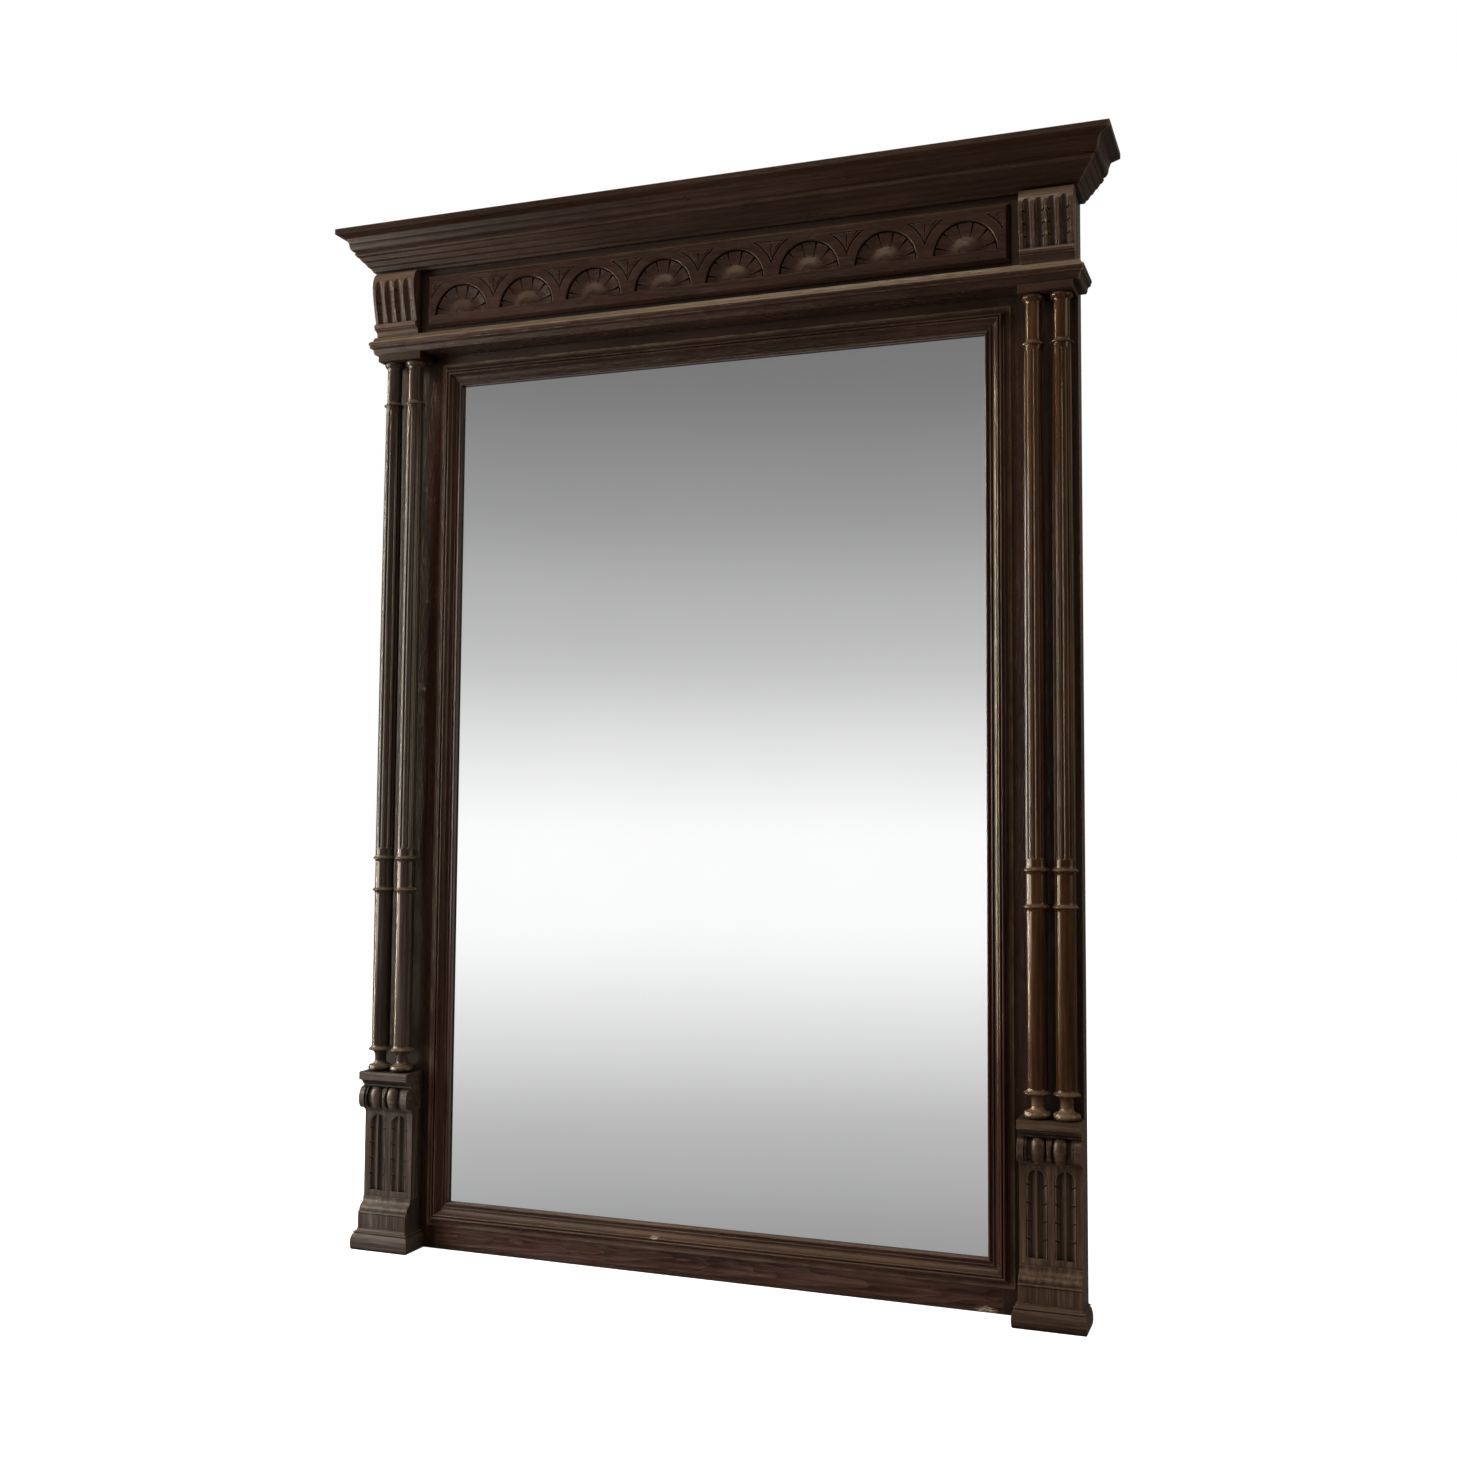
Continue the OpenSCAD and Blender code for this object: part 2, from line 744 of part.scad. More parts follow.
// Turned colonnette: sizes of its members, and their levels as heights above the pedestal
column_h = impost_z - pedestal_top;
torus_h = 9;
torus_out = 0.7;
torus_in = 1.5;
scotia_z0 = 16;
scotia_z1 = 24;
scotia_step = 2.6;
scotia_lip = 0.6;
collar_z = 33.5;
low_ring_z = column_h * 0.2505;
high_ring_z = column_h * 0.2944;
neck_ring_z = column_h * 0.9385;
ring_flare = 6;
ring_nose = 1.3;
ring_lip = 0.5;
cap_ring_h = 8;
cap_ring_drop = 12;
cap_flare = 2;
band_d = shaft_mid_d - 0.5;
shaft_ease = 0.4;
shaft_top_out = 1.2;

// A half-round swelling of a turned profile, as [radius, z]
function bulge(r0, r1, z, h, n = 6) = [
    for (i = [0 : n]) [r0 + (r1 - r0) * sin(180 * i / n), z - h / 2 + h * i / n]
];

// A ring that flares from a radius below to its nose and back to a radius above
function flare(r0, r1, r2, z, below, above) = concat(
    turn_out([r0, z - below], [r1 - ring_lip, z - ring_nose], 4),
    [[r1, z - ring_nose / 3], [r1, z + ring_nose / 3]],
    turn_up([r1 - ring_lip, z + ring_nose], [r2, z + above], 4)
);

function column_profile() = let (
    r_foot = shaft_foot_d / 2,
    r_mid = shaft_mid_d / 2,
    r_neck = neck_d / 2,
    r_ring = ring_d / 2,
    r_band = band_d / 2,
    r_top = r_neck + shaft_top_out,
    r_torus = r_ring + torus_out,
    r_scotia = scotia_d / 2,
    shaft_z0 = high_ring_z + ring_flare,
    shaft_z1 = neck_ring_z - ring_flare / 2
) concat(
    [[0, -spigot_l], [spigot_d / 2, -spigot_l], [spigot_d / 2, 0]],
    bulge(r_torus - torus_in, r_torus, torus_h / 2, torus_h),
    turn_up([r_torus - scotia_step, torus_h + scotia_lip], [r_scotia, scotia_z0], 5),
    [[r_scotia, scotia_z1]],
    turn_out([r_scotia, scotia_z1], [r_torus - scotia_lip, collar_z - ring_nose], 5),
    [[r_torus, collar_z - ring_nose / 3], [r_torus, collar_z + ring_nose / 3]],
    turn_up([r_torus - ring_lip, collar_z + ring_nose], [r_foot, collar_z + ring_flare], 4),
    [[r_band, low_ring_z - ring_flare]],
    flare(r_band, r_ring, r_band, low_ring_z, ring_flare, ring_flare),
    [[r_band, high_ring_z - ring_flare]],
    flare(r_band, r_ring, r_mid, high_ring_z, ring_flare, ring_flare),
    curve([r_mid, shaft_z0], [r_mid, shaft_z0 + shaft_ease * (shaft_z1 - shaft_z0)],
          [r_mid, shaft_z1 - shaft_ease * (shaft_z1 - shaft_z0)], [r_top, shaft_z1], 5),
    flare(r_top, neck_ring_d / 2, r_neck, neck_ring_z, ring_flare / 3, ring_flare),
    [[r_neck, column_h - cap_ring_drop]],
    turn_out([r_neck, column_h - cap_ring_drop], [r_neck + cap_flare, column_h - cap_ring_h], 3),
    bulge(r_neck + cap_flare, neck_ring_d / 2, column_h - cap_ring_h / 2, cap_ring_h),
    [[spigot_d / 2, column_h], [spigot_d / 2, column_h + spigot_l], [0, column_h + spigot_l]]
);

column_flute_r = 3.2;
flute_foot_in = 1.7;
flute_head_out = 0.3;
flute_rise = 14;
flute_drop = 8;
flute_z0 = high_ring_z + flute_rise + column_flute_r;
flute_z1 = neck_ring_z - flute_drop - column_flute_r;

// A rod along Z with a domed head, and a domed foot below its start, as one turned solid
dome_points = 3;
module domed_rod(r, run) {
    rotate_extrude()
        polygon(concat(arc([0, 0], r, -90, 0, dome_points), arc([0, run], r, 0, 90, dome_points)));
}

module colonnette(s) {
    color(oak_light)
        translate([pair_x + s * column_pitch / 2, at(column_d), pedestal_top])
            difference() {
                rotate_extrude()
                    polygon(column_profile());
                for (k = [0 : column_flutes - 1])
                    rotate([0, 0, (k + 0.5) * 360 / column_flutes])
                        column_flute();
            }
}

// One flute of the shaft: a domed rod that leans inward to follow the taper
module column_flute() {
    w = column_flute_r;
    foot_r = shaft_mid_d / 2 - flute_foot_in + w;
    head_r = neck_d / 2 + flute_head_out + w;
    run = flute_z1 - flute_z0;
    translate([foot_r, 0, flute_z0])
        rotate([0, -atan((foot_r - head_r) / run), 0])
            domed_rod(w, run);
}

// Block above a pair of colonnettes, bored for their spigots
module impost_block() {
    color(oak)
        difference() {
            bar_x([[0, impost_z], [impost_d - 1, impost_z], [impost_d, impost_z + 1],
                   [impost_d, ledge_z], [0, ledge_z]],
                  pair_x - impost_w / 2, pair_x + impost_w / 2);
            for (s = [-1, 1])
                translate([pair_x + s * column_pitch / 2, at(column_d), impost_z - over])
                    cylinder(d = spigot_d + 2 * tenon_gap, h = spigot_l + over + tenon_gap);
        }
}

// Mouldings that turn the corner: the profile is a list of [projection, z]
module front_run(profile, back) {
    reach = cornice_proj + over;
    difference() {
        bar_x(concat([[back, profile[0][1]]], [for (p = profile) [frieze_d + p[0], p[1]]],
                     [[back, profile[len(profile) - 1][1]]]),
              -half_w - reach, half_w + reach);
        for (side = [-1, 1])
            on_side(side)
                translate([0, 0, ledge_z - over])
                    linear_extrude(overall_h - ledge_z + 2 * over)
                        polygon([[half_w, at(frieze_d)], [half_w + 2 * reach, at(frieze_d + 2 * reach)],
                                 [half_w + 2 * reach, wall_y + over], [half_w, wall_y + over]]);
    }
}

module side_run(profile) {
    reach = cornice_proj + over;
    difference() {
        bar_y(concat([[half_w, profile[0][1]]], [for (p = profile) [half_w + p[0], p[1]]],
                     [[half_w, profile[len(profile) - 1][1]]]),
              at(frieze_d + reach), wall_y);
        translate([0, 0, ledge_z - over])
            linear_extrude(overall_h - ledge_z + 2 * over)
                polygon([[half_w, at(frieze_d)], [half_w + 2 * reach, at(frieze_d + 2 * reach)],
                         [half_w - over, at(frieze_d + 2 * reach)], [half_w - over, at(frieze_d)]]);
    }
}

// Ledge: a rounded nose on top and an ogee below
ledge_nose_r = 5;
ledge_nose_z = ledge_z + 17;
ledge_foot_in = 9;
ledge_neck_in = 6;
ledge_neck_z = ledge_z + 6;
ledge_chin_in = 1.5;
ledge_chin_drop = 6.5;
ledge_top_in = 6.5;
ledge_profile = concat(
    [[ledge_proj - ledge_foot_in, ledge_z]],
    turn_up([ledge_proj - ledge_foot_in, ledge_z],
            [ledge_proj - ledge_neck_in, ledge_neck_z], 3),
    turn_out([ledge_proj - ledge_neck_in, ledge_neck_z],
             [ledge_proj - ledge_chin_in, ledge_nose_z - ledge_chin_drop], 3),
    arc([ledge_proj - ledge_nose_r, ledge_nose_z], ledge_nose_r, -45, 90, 7),
    [[ledge_proj - ledge_top_in, frieze_z]]
);

// Bed moulding: four receding fillets with hollows between them, as steps of equal size
bed_steps = 4;
bed_in = 6.5;
bed_top = 26;
bed_step_h = bed_h / bed_steps;
bed_fillet_h = bed_step_h * 0.45;
bed_lip = 0.4;
function bed_step(d, z) = concat(
    [[d, z]],
    turn_up([d, z + bed_fillet_h], [d + bed_in - bed_lip, z + bed_step_h], 4)
);
bed_profile = [
    for (k = [bed_steps : -1 : 1]) each bed_step(bed_top - (k - 1) * bed_in, crown_z - k * bed_step_h)
];

// Crown moulding: a fillet, a long double curve and the top fillet
crown_foot = 33;
crown_foot_h = 4.5;
crown_waist_in = 15;
crown_waist_z = crown_z + 17;
crown_neck_in = 10;
crown_fillet = 9.5;
crown_neck_h = 3;
crown_arris = 1;
crown_profile = concat(
    [[crown_foot, crown_z], [crown_foot, crown_z + crown_foot_h]],
    turn_up([crown_foot, crown_z + crown_foot_h],
            [cornice_proj - crown_waist_in - crown_arris, crown_waist_z], 7),
    turn_out([cornice_proj - crown_waist_in, crown_waist_z],
             [cornice_proj - crown_neck_in, overall_h - crown_fillet - crown_neck_h], 5),
    [[cornice_proj - crown_arris, overall_h - crown_fillet],
     [cornice_proj, overall_h - crown_fillet + crown_arris],
     [cornice_proj, overall_h - crown_arris], [cornice_proj - crown_arris, overall_h]]
);

module frieze() {
    color(oak)
        slab(-half_w, half_w, frieze_d - frieze_t, frieze_d, frieze_z, top_board_z);
}

module packing() {
    color(pine)
        slab(half_w - packing_w, half_w, 0, frieze_d - frieze_t, frieze_z, top_board_z);
}

module top_lid() {
    color(oak)
        slab(-half_w, half_w, -stile_t, frieze_d, top_board_z, overall_h);
}

// Middle line of the consoles
console_x = half_w + console_out - console_w / 2;

// Carved panel: a bevelled board with a row of sunk shells under round bands
panel_x = console_x - console_w / 2 - panel_gap - bevel_w;
panel_z0 = frieze_z + panel_foot;
panel_z1 = panel_z0 + panel_h;
panel_d = frieze_d + panel_t;
bevel_d = 6;
panel_rim = 4;
arcade_sill = 14;
arcade_z = panel_z0 + arcade_sill;

// As many arcades as the panel holds, spread evenly
arcade_run = 2 * (panel_x - panel_end - arcade_r);
arcade_count = floor(arcade_run / (2 * arcade_r + least_pier)) + 1;
arcade_pitch = arcade_run / (arcade_count - 1);
function arcade_x(i) = (i - (arcade_count - 1) / 2) * arcade_pitch;

module panel_blank() {
    intersection() {
        bar_x([[frieze_d, panel_z0 - bevel_w], [panel_d - bevel_d, panel_z0 - bevel_w], [panel_d, panel_z0],
               [panel_d, panel_z1], [panel_d - bevel_d, panel_z1 + bevel_w], [frieze_d, panel_z1 + bevel_w]],
              -panel_x - bevel_w, panel_x + bevel_w);
        translate([0, 0, panel_z0 - bevel_w - over])
            linear_extrude(panel_h + 2 * bevel_w + 2 * over)
                polygon([[-panel_x - bevel_w, at(frieze_d)], [panel_x + bevel_w, at(frieze_d)],
                         [panel_x + bevel_w, at(panel_d - bevel_d)], [panel_x, at(panel_d)],
                         [-panel_x, at(panel_d)], [-panel_x - bevel_w, at(panel_d - bevel_d)]]);
    }
}

// Half-round hollow of one arcade, above its sill, with a worn rim
rim_bevel = 1.2;
module arcade_hollow() {
    rim_h = arcade_depth - rim_bevel;
    top_r = arcade_r + rim_bevel + over;
    facing(panel_d - arcade_depth)
        intersection() {
            rotate_extrude()
                polygon([[0, 0], [arcade_r, 0], [arcade_r, rim_h], [top_r, arcade_depth + over],
                         [0, arcade_depth + over]]);
            translate([-top_r, 0, 0])
                cube([2 * top_r, top_r, arcade_depth + over]);
        }
}

// Shell inside an arcade: a domed heart, a hollow round it and petals that rise again at the rim
heart_h = arcade_depth - 0.7;
hollow_h = arcade_depth - 4.6;
petal_h = arcade_depth - 2.8;
hollow_r = arcade_r * 0.62;
cut_r = arcade_r * 0.5;
rim_groove = 1.4;
petal_r = arcade_r - rim_groove;
petal_step = 180 / shell_petals;

function shell_profile() = concat(
    [[0, 0], [0, heart_h]],
    curve([0, heart_h], [hollow_r * 0.6, heart_h], [hollow_r * 0.65, hollow_h], [hollow_r, hollow_h], 6),
    curve([hollow_r, hollow_h], [hollow_r + 6, hollow_h], [petal_r - 4, petal_h - 0.3],
          [petal_r - 1, petal_h], 3),
    [[petal_r, petal_h - 1], [petal_r, 0]]
);

// Deep cuts between the petals, and short ones that split each petal's tip
tip_cut_l = 5;
module petal_cuts() {
    for (k = [0 : shell_petals - 1])
        rotate([0, 0, (k + 0.5) * petal_step])
            vee([cut_r, hollow_h - 0.9], [arcade_r, hollow_h - 2.2]);
    for (k = [1 : shell_petals - 1])
        rotate([0, 0, k * petal_step])
            vee([petal_r - tip_cut_l, petal_h - 0.2], [arcade_r, petal_h - 2.4]);
}

// Small half-round seed at the shell's foot, outlined by a ring-shaped cut
seed_r = 9;
seed_cut = 1.6;
seed_cut_w = 1.8;
module seed_ring() {
    rotate_extrude()
        polygon([[seed_r - seed_cut_w / 2, heart_h + over], [seed_r, heart_h - seed_cut],
                 [seed_r + seed_cut_w / 2, heart_h + over]]);
}

module shell() {
    facing(panel_d - arcade_depth)
        difference() {
            intersection() {
                rotate_extrude()
                    polygon(shell_profile());
                translate([-arcade_r, 0, 0])
                    cube([2 * arcade_r, arcade_r, arcade_depth]);
            }
            petal_cuts();
            seed_ring();
        }
}

// Three-cornered field between two arcades: a leaf bounded by grooves and split into lobes by cuts
spandrel_depth = 2.6;
spandrel_tip = 15;
spandrel_top = arcade_r + 6;
leaf_gap = 0.5;
leaf_flank = 2.2;
leaf_h = spandrel_depth - 0.3;
band_r = arcade_r + arcade_band;
midrib_foot = 25;
side_cut_foot = 36;
side_cut_x = 3.5;
side_cut_turn = 40;
end_cut_foot = 34;
end_cut_turns = [-14, -46];
cut_head_h = 0.2;
cut_foot_h = 1.8;

// Outline of the field between two x values, bounded below by the bands of both arcades
module spandrel_field(from_x, to_x) {
    linear_extrude(spandrel_depth + over)
        difference() {
            translate([from_x, spandrel_tip])
                square([to_x - from_x, spandrel_top - spandrel_tip]);
            for (s = [-1, 1])
                translate([s * arcade_pitch / 2, 0])
                    circle(r = band_r);
        }
}

module leaf(from_x, to_x) {
    difference() {
        translate([from_x + leaf_gap, spandrel_tip, 0])
            cube([to_x - from_x - 2 * leaf_gap, spandrel_top - spandrel_tip - 2 * leaf_gap, leaf_h]);
        for (s = [-1, 1])
            translate([s * arcade_pitch / 2, 0, 0])
                cylinder(h = leaf_h, r1 = band_r + leaf_gap, r2 = band_r + leaf_gap + leaf_flank);
    }
}

// A cut that deepens from its foot, at a turn from the upright
module leaf_cut(x, z, turn) {
    translate([x, z, 0])
        rotate([0, 0, 90 - turn])
            vee([0, cut_foot_h], [arcade_r / 2, cut_head_h]);
}

module spandrel() {
    facing(panel_d - spandrel_depth)
        difference() {
            spandrel_field(-arcade_pitch / 2, arcade_pitch / 2);
            difference() {
                leaf(-arcade_pitch / 2, arcade_pitch / 2);
                leaf_cut(0, midrib_foot, 0);
                for (s = [-1, 1])
                    leaf_cut(s * side_cut_x, side_cut_foot, s * side_cut_turn);
            }
        }
}

// Half field beyond the last arcade, with two cuts that spread from its outer corner
module end_spandrel() {
    edge_x = panel_x - panel_rim - arcade_x(arcade_count - 1) - arcade_pitch / 2;
    facing(panel_d - spandrel_depth)
        difference() {
            spandrel_field(-arcade_pitch / 2, edge_x);
            difference() {
                leaf(-arcade_pitch / 2, edge_x);
                for (turn = end_cut_turns)
                    leaf_cut(edge_x - side_cut_x, end_cut_foot, turn);
            }
        }
}

module carved_board() {
    color(oak_light)
        difference() {
            panel_blank();
            for (i = [0 : arcade_count - 1])
                translate([arcade_x(i), 0, arcade_z])
                    difference() {
                        arcade_hollow();
                        shell();
                    }
            for (i = [0 : arcade_count - 2])
                translate([(arcade_x(i) + arcade_x(i + 1)) / 2, 0, arcade_z])
                    spandrel();
            for (side = [-1, 1])
                on_side(side)
                    translate([arcade_x(arcade_count - 1) + arcade_pitch / 2, 0, arcade_z])
                        end_spandrel();
        }
}

// Console: a block whose front swells and rolls in, with four round-headed flutes
console_foot_d = console_d - 11.5;
console_base_d = console_foot_d + 5;
console_head_d = console_d - 14;
console_base_h = 20;
console_sole_in = 4.5;
console_sole_h = 3;
console_fillet = 9;
console_fillet_in = 1.5;
console_lip = 1;
console_crest = 0.765;
console_flutes = 4;
console_flute_w = 13.5;
console_flute_pitch = 17;
console_flute_drop = 14;
console_notches = 3;
console_z0 = frieze_z + console_base_h;
console_crest_z = frieze_z + frieze_h * console_crest;
console_rise = console_crest_z - console_z0;

function console_front() = concat(
    curve([console_foot_d, console_z0],
          [console_foot_d + console_rise * 0.06, console_z0 + console_rise * 0.25],
          [console_d, console_crest_z - console_rise * 0.3], [console_d, console_crest_z], 8),
    turn_out([console_d, console_crest_z], [console_head_d, bed_z], 7)
);

// A flute that leans with the console's front
console_flute_r = (console_flute_w * console_flute_w / 4 + console_flute_depth * console_flute_depth)
    / (2 * console_flute_depth);
console_lean = atan((console_d - console_foot_d) / (console_crest_z - console_z0));

console_flute_start = 6;
module console_flute(x) {
    r = console_flute_r;
    run = (bed_z - console_flute_drop - console_z0 - r) / cos(console_lean) + console_flute_start;
    translate([x, at(console_foot_d - console_flute_depth + r), console_z0])
        rotate([console_lean, 0, 0])
            translate([0, 0, -console_flute_start])
                domed_rod(r, run);
}

// Foot of the console: a cove under a rounded fillet
module console_foot(x0) {
    sole_d = console_foot_d - console_sole_in;
    bar_x(concat([[frieze_d, frieze_z], [sole_d, frieze_z], [sole_d, frieze_z + console_sole_h]],
                 turn_out([sole_d, frieze_z + console_sole_h],
                          [console_base_d - console_fillet_in,
                           console_z0 - console_fillet - console_lip], 5),
                 arc([console_base_d - console_fillet / 2,
                      console_z0 - console_fillet / 2 - console_lip / 2],
                     console_fillet / 2, -70, 75, 6),
                 [[console_foot_d + console_lip, console_z0], [frieze_d, console_z0]]),
          x0, x0 + console_w);
}

module console() {
    x0 = console_x - console_w / 2;
    color(oak) {
        console_foot(x0);
        difference() {
            bar_x(concat([[frieze_d, console_z0], [console_foot_d, console_z0]],
                         console_front(), [[frieze_d, bed_z]]),
                  x0, x0 + console_w);
            for (k = [0 : console_flutes - 1]) {
                side = k % 2 == 0 ? -1 : 1;
                x = console_x + (k - (console_flutes - 1) / 2) * console_flute_pitch;
                console_flute(x);
                for (n = [1 : console_notches]) {
                    rise = console_rise * n / (console_notches + 0.5);
                    notch(x + side * (console_flute_w / 2 - notch_l / 4), console_z0 + rise,
                          console_foot_d + rise * tan(console_lean), side);
                }
            }
        }
    }
}

on_side(-1) stile();  // stile_left
stile();  // stile_right
rail(0, opening_bottom, bottom_tenon);  // bottom_rail
rail(opening_top, top_rail_z1, top_tenon);  // top_rail
rail(upper_rail_z0, top_board_z, upper_tenon);  // upper_rail
peg_set();  // tenon_pegs
on_side(-1) sight_upright();  // sight_moulding_left
sight_upright();  // sight_moulding_right
sight_level(sight_top, 1);  // sight_moulding_top
sight_level(sight_bottom, -1);  // sight_moulding_bottom
glass_pane();  // mirror_glass
glass_fillet(-opening_x, -fillet_x, opening_bottom, opening_top);  // glass_fillet_left
glass_fillet(fillet_x, opening_x, opening_bottom, opening_top);  // glass_fillet_right
glass_fillet(-fillet_x, fillet_x, opening_top - fillet_w, opening_top);  // glass_fillet_top
glass_fillet(-fillet_x, fillet_x, opening_bottom, opening_bottom + fillet_w);  // glass_fillet_bottom
boards();  // backing_boards
screws();  // backing_screws
on_side(-1) base_moulding();  // base_moulding_left
base_moulding();  // base_moulding_right
on_side(-1) plinth();  // plinth_left
plinth();  // plinth_right
on_side(-1) die();  // pedestal_die_left
die();  // pedestal_die_right
on_side(-1) gadroon_band();  // gadroon_band_left
gadroon_band();  // gadroon_band_right
on_side(-1) pedestal_cap();  // pedestal_cap_left
pedestal_cap();  // pedestal_cap_right
on_side(-1) colonnette(1);  // colonnette_left_outer
on_side(-1) colonnette(-1);  // colonnette_left_inner
colonnette(-1);  // colonnette_right_inner
colonnette(1);  // colonnette_right_outer
on_side(-1) impost_block();  // impost_block_left
impost_block();  // impost_block_right
color(oak) front_run(ledge_profile, 0);  // ledge_front
color(oak) on_side(-1) side_run(ledge_profile);  // ledge_return_left
color(oak) side_run(ledge_profile);  // ledge_return_right
frieze();  // frieze_board
on_side(-1) packing();  // frieze_packing_left
packing();  // frieze_packing_right
carved_board();  // carved_panel
on_side(-1) console();  // console_left
console();  // console_right
color(oak) front_run(bed_profile, frieze_d);  // bed_moulding_front
color(oak) on_side(-1) side_run(bed_profile);  // bed_return_left
color(oak) side_run(bed_profile);  // bed_return_right
color(oak) front_run(crown_profile, frieze_d);  // crown_moulding_front
color(oak) on_side(-1) side_run(crown_profile);  // crown_return_left
color(oak) side_run(crown_profile);  // crown_return_right
top_lid();  // top_board
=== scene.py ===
import json

import bpy
from mathutils import Matrix, Vector


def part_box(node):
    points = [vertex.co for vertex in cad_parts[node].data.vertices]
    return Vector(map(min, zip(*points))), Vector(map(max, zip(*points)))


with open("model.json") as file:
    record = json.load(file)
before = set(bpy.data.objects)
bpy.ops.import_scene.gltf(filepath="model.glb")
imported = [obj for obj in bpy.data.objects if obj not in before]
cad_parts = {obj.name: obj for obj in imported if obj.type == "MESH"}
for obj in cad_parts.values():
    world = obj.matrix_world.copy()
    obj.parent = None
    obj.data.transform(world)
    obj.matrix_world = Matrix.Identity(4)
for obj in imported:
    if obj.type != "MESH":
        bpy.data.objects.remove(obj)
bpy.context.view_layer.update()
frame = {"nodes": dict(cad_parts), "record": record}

# Woods: the dark, middle and light tone of each, as linear colours
STAINED_OAK = ((0.0120, 0.0045, 0.0030), (0.0320, 0.0132, 0.0090), (0.066, 0.031, 0.0215))
CARVED_OAK = ((0.0140, 0.0064, 0.0043), (0.0360, 0.0182, 0.0125), (0.070, 0.038, 0.026))
PEDESTAL_OAK = ((0.0130, 0.0060, 0.0037), (0.0390, 0.0207, 0.0130), (0.088, 0.051, 0.033))
# Cooler, greyer tones, given only to the pieces on the left
COOLER_LEFT_OAK = ((0.0130, 0.0074, 0.0060), (0.0375, 0.0240, 0.0190), (0.086, 0.062, 0.051))
TURNED_OAK = ((0.0120, 0.0038, 0.0016), (0.0390, 0.0148, 0.0062), (0.088, 0.040, 0.0185))
RAW_WOOD = ((0.10, 0.062, 0.032), (0.23, 0.155, 0.085), (0.36, 0.26, 0.155))

# What age leaves on the wood, some of it painted shade and light, and the tint of its reflections
# Also painted light, on the feet of the right colonnettes
WORN_AND_LIT_WOOD = (0.190, 0.122, 0.072)
# Also painted shade, in hollows and grooves and on the stiles beside the colonnettes
GRIME_AND_SHADE = (0.0026, 0.0014, 0.0010)
# Also painted light, on the faces that look up
FADED_AND_TOP_LIT = (0.215, 0.142, 0.086)
BARE_WOOD = (0.34, 0.25, 0.18)
VARNISH = (1.0, 0.85, 0.66)

# Noises in the wood: frequency across the grain and along it, per metre, then detail and roughness
STREAKS = (190, 5, 5, 0.68)
FIBRES = (900, 18, 3, 0.6)
PORES = (1300, 50, 2, 0.5)
CLOUDS = (16, 4, 3, 0.5)
RUBBING = (60, 22, 4, 0.6)
RING_WARP = (22, 5, 3, 0.5)
NOISE_MEAN = 0.5
RING_MEAN = 0.45

# Places of the dark, middle and light tone on the ramp, and how far each part of the wood moves along it
TONE_LEVELS = (0.26, 0.56, 0.88)
CLOUD_TONE = 0.55
FIBRE_TONE = 0.35
RING_TONE = 0.22
OWN_TONE = 0.07
PORE_DARKNESS = 0.5

# Growth rings: their wave, how far they warp, the slant of their middle line and where it runs, in metres
RING_WAVE = dict(Scale=75.0, Distortion=1.6, Detail=2.0, Detail_Scale=0.25, Detail_Roughness=0.5)
RING_WARP_REACH = 0.03
RING_SLANT = 0.008
RING_MIDDLE = (0.03, 0.045, 0.02)
RING_MIDDLE_STEP = 0.004

# Pieces sawn near the log's middle, so that long arches show
FIGURED = {"bottom_rail": dict(figure=1.5, slant=0.04, middle=(0.0, -0.006, -0.022))}

# Rates and spans that turn a piece's seed into numbers of its own
SHIFT_STEPS = ((3.17, 7), (1.73, 5), (2.41, 6))
MIDDLE_STEPS = ((7.3, 5), (3.9, 6), (5.1, 5))
TONE_STEPS = ((0.618, 1),)
FIRST_SEED = 1.37

# Masks: levels of what a mask follows, each with the mask's strength there
PORE_MASK = ((0.58, 0.0), (0.68, 1.0))
EDGE_MASK = ((0.30, 1.0), (0.66, 0.0))
EDGE_PATCHES = ((0.36, 0.35), (0.64, 1.0))
HOLLOW_MASK = ((0.32, 1.0), (0.92, 0.0))
CREVICE_MASK = ((0.5, 1.0), (0.95, 0.0))
UPWARD_MASK = ((0.05, 0.0), (0.55, 1.0))
DUST_PATCHES = ((0.3, 0.5), (0.7, 1.0))
FOOT_PATCHES = ((0.36, 0.1), (0.6, 0.6))

# In metres: how wide worn edges are and the crevices that grime and painted shade darken, how far up the
# painted light on a pale foot fades out, and the radius to which sharp edges are rounded
EDGE_REACH = 0.0028
CREVICE_REACH = 0.0022
FOOT_FADE = 0.02
EDGE_ROUNDING = 0.0007

# Samples of the nodes that look for edges and hollows, and of the one that rounds edges
OCCLUSION_SAMPLES = 6
ROUNDING_SAMPLES = 4

# What rubbing, grime and dust add to the roughness, and the grain's relief
RUBBED_ROUGHNESS = 0.22
GRIME_ROUGHNESS = 0.2
DUST_ROUGHNESS = 0.15
STREAK_RELIEF = 0.6
PORE_RELIEF = -0.7
FIBRE_RELIEF = 0.35
RELIEF_DEPTH = 0.0004

# Scuffed spots: their middle from the foot of the piece's front at mid width, and their reach, in metres
MARKS = {
    "bottom_rail": dict(middle=(0.418, 0.0, 0.001), reach=(0.026, 0.02, 0.013)),
    "sight_moulding_bottom": dict(middle=(-0.070, 0.004, 0.019), reach=(0.014, 0.02, 0.004)),
}
SCRATCH_SCALE = (240.0, 240.0, 760.0)
SCRATCH_TURN = (0.0, 0.7, 0.0)
SCRATCH_DETAIL = (3, 0.6)
SPOT_FADE = ((0.35, 1.0), (1.0, 0.0))
SPOT_WEIGHT = 0.46
SPOT_MASK = ((0.84, 0.0), (0.95, 0.85))

# Looking glass: the noise of its haze, then silver and film where it is clear and where it is hazy
HAZE = (3.0, 3.0, 0.55)
SILVER = ((0.3, (0.955, 0.96, 0.96)), (0.7, (0.975, 0.98, 0.98)))
FILM = ((0.35, 0.02), (0.7, 0.12))
FILM_ROUGHNESS = 0.3

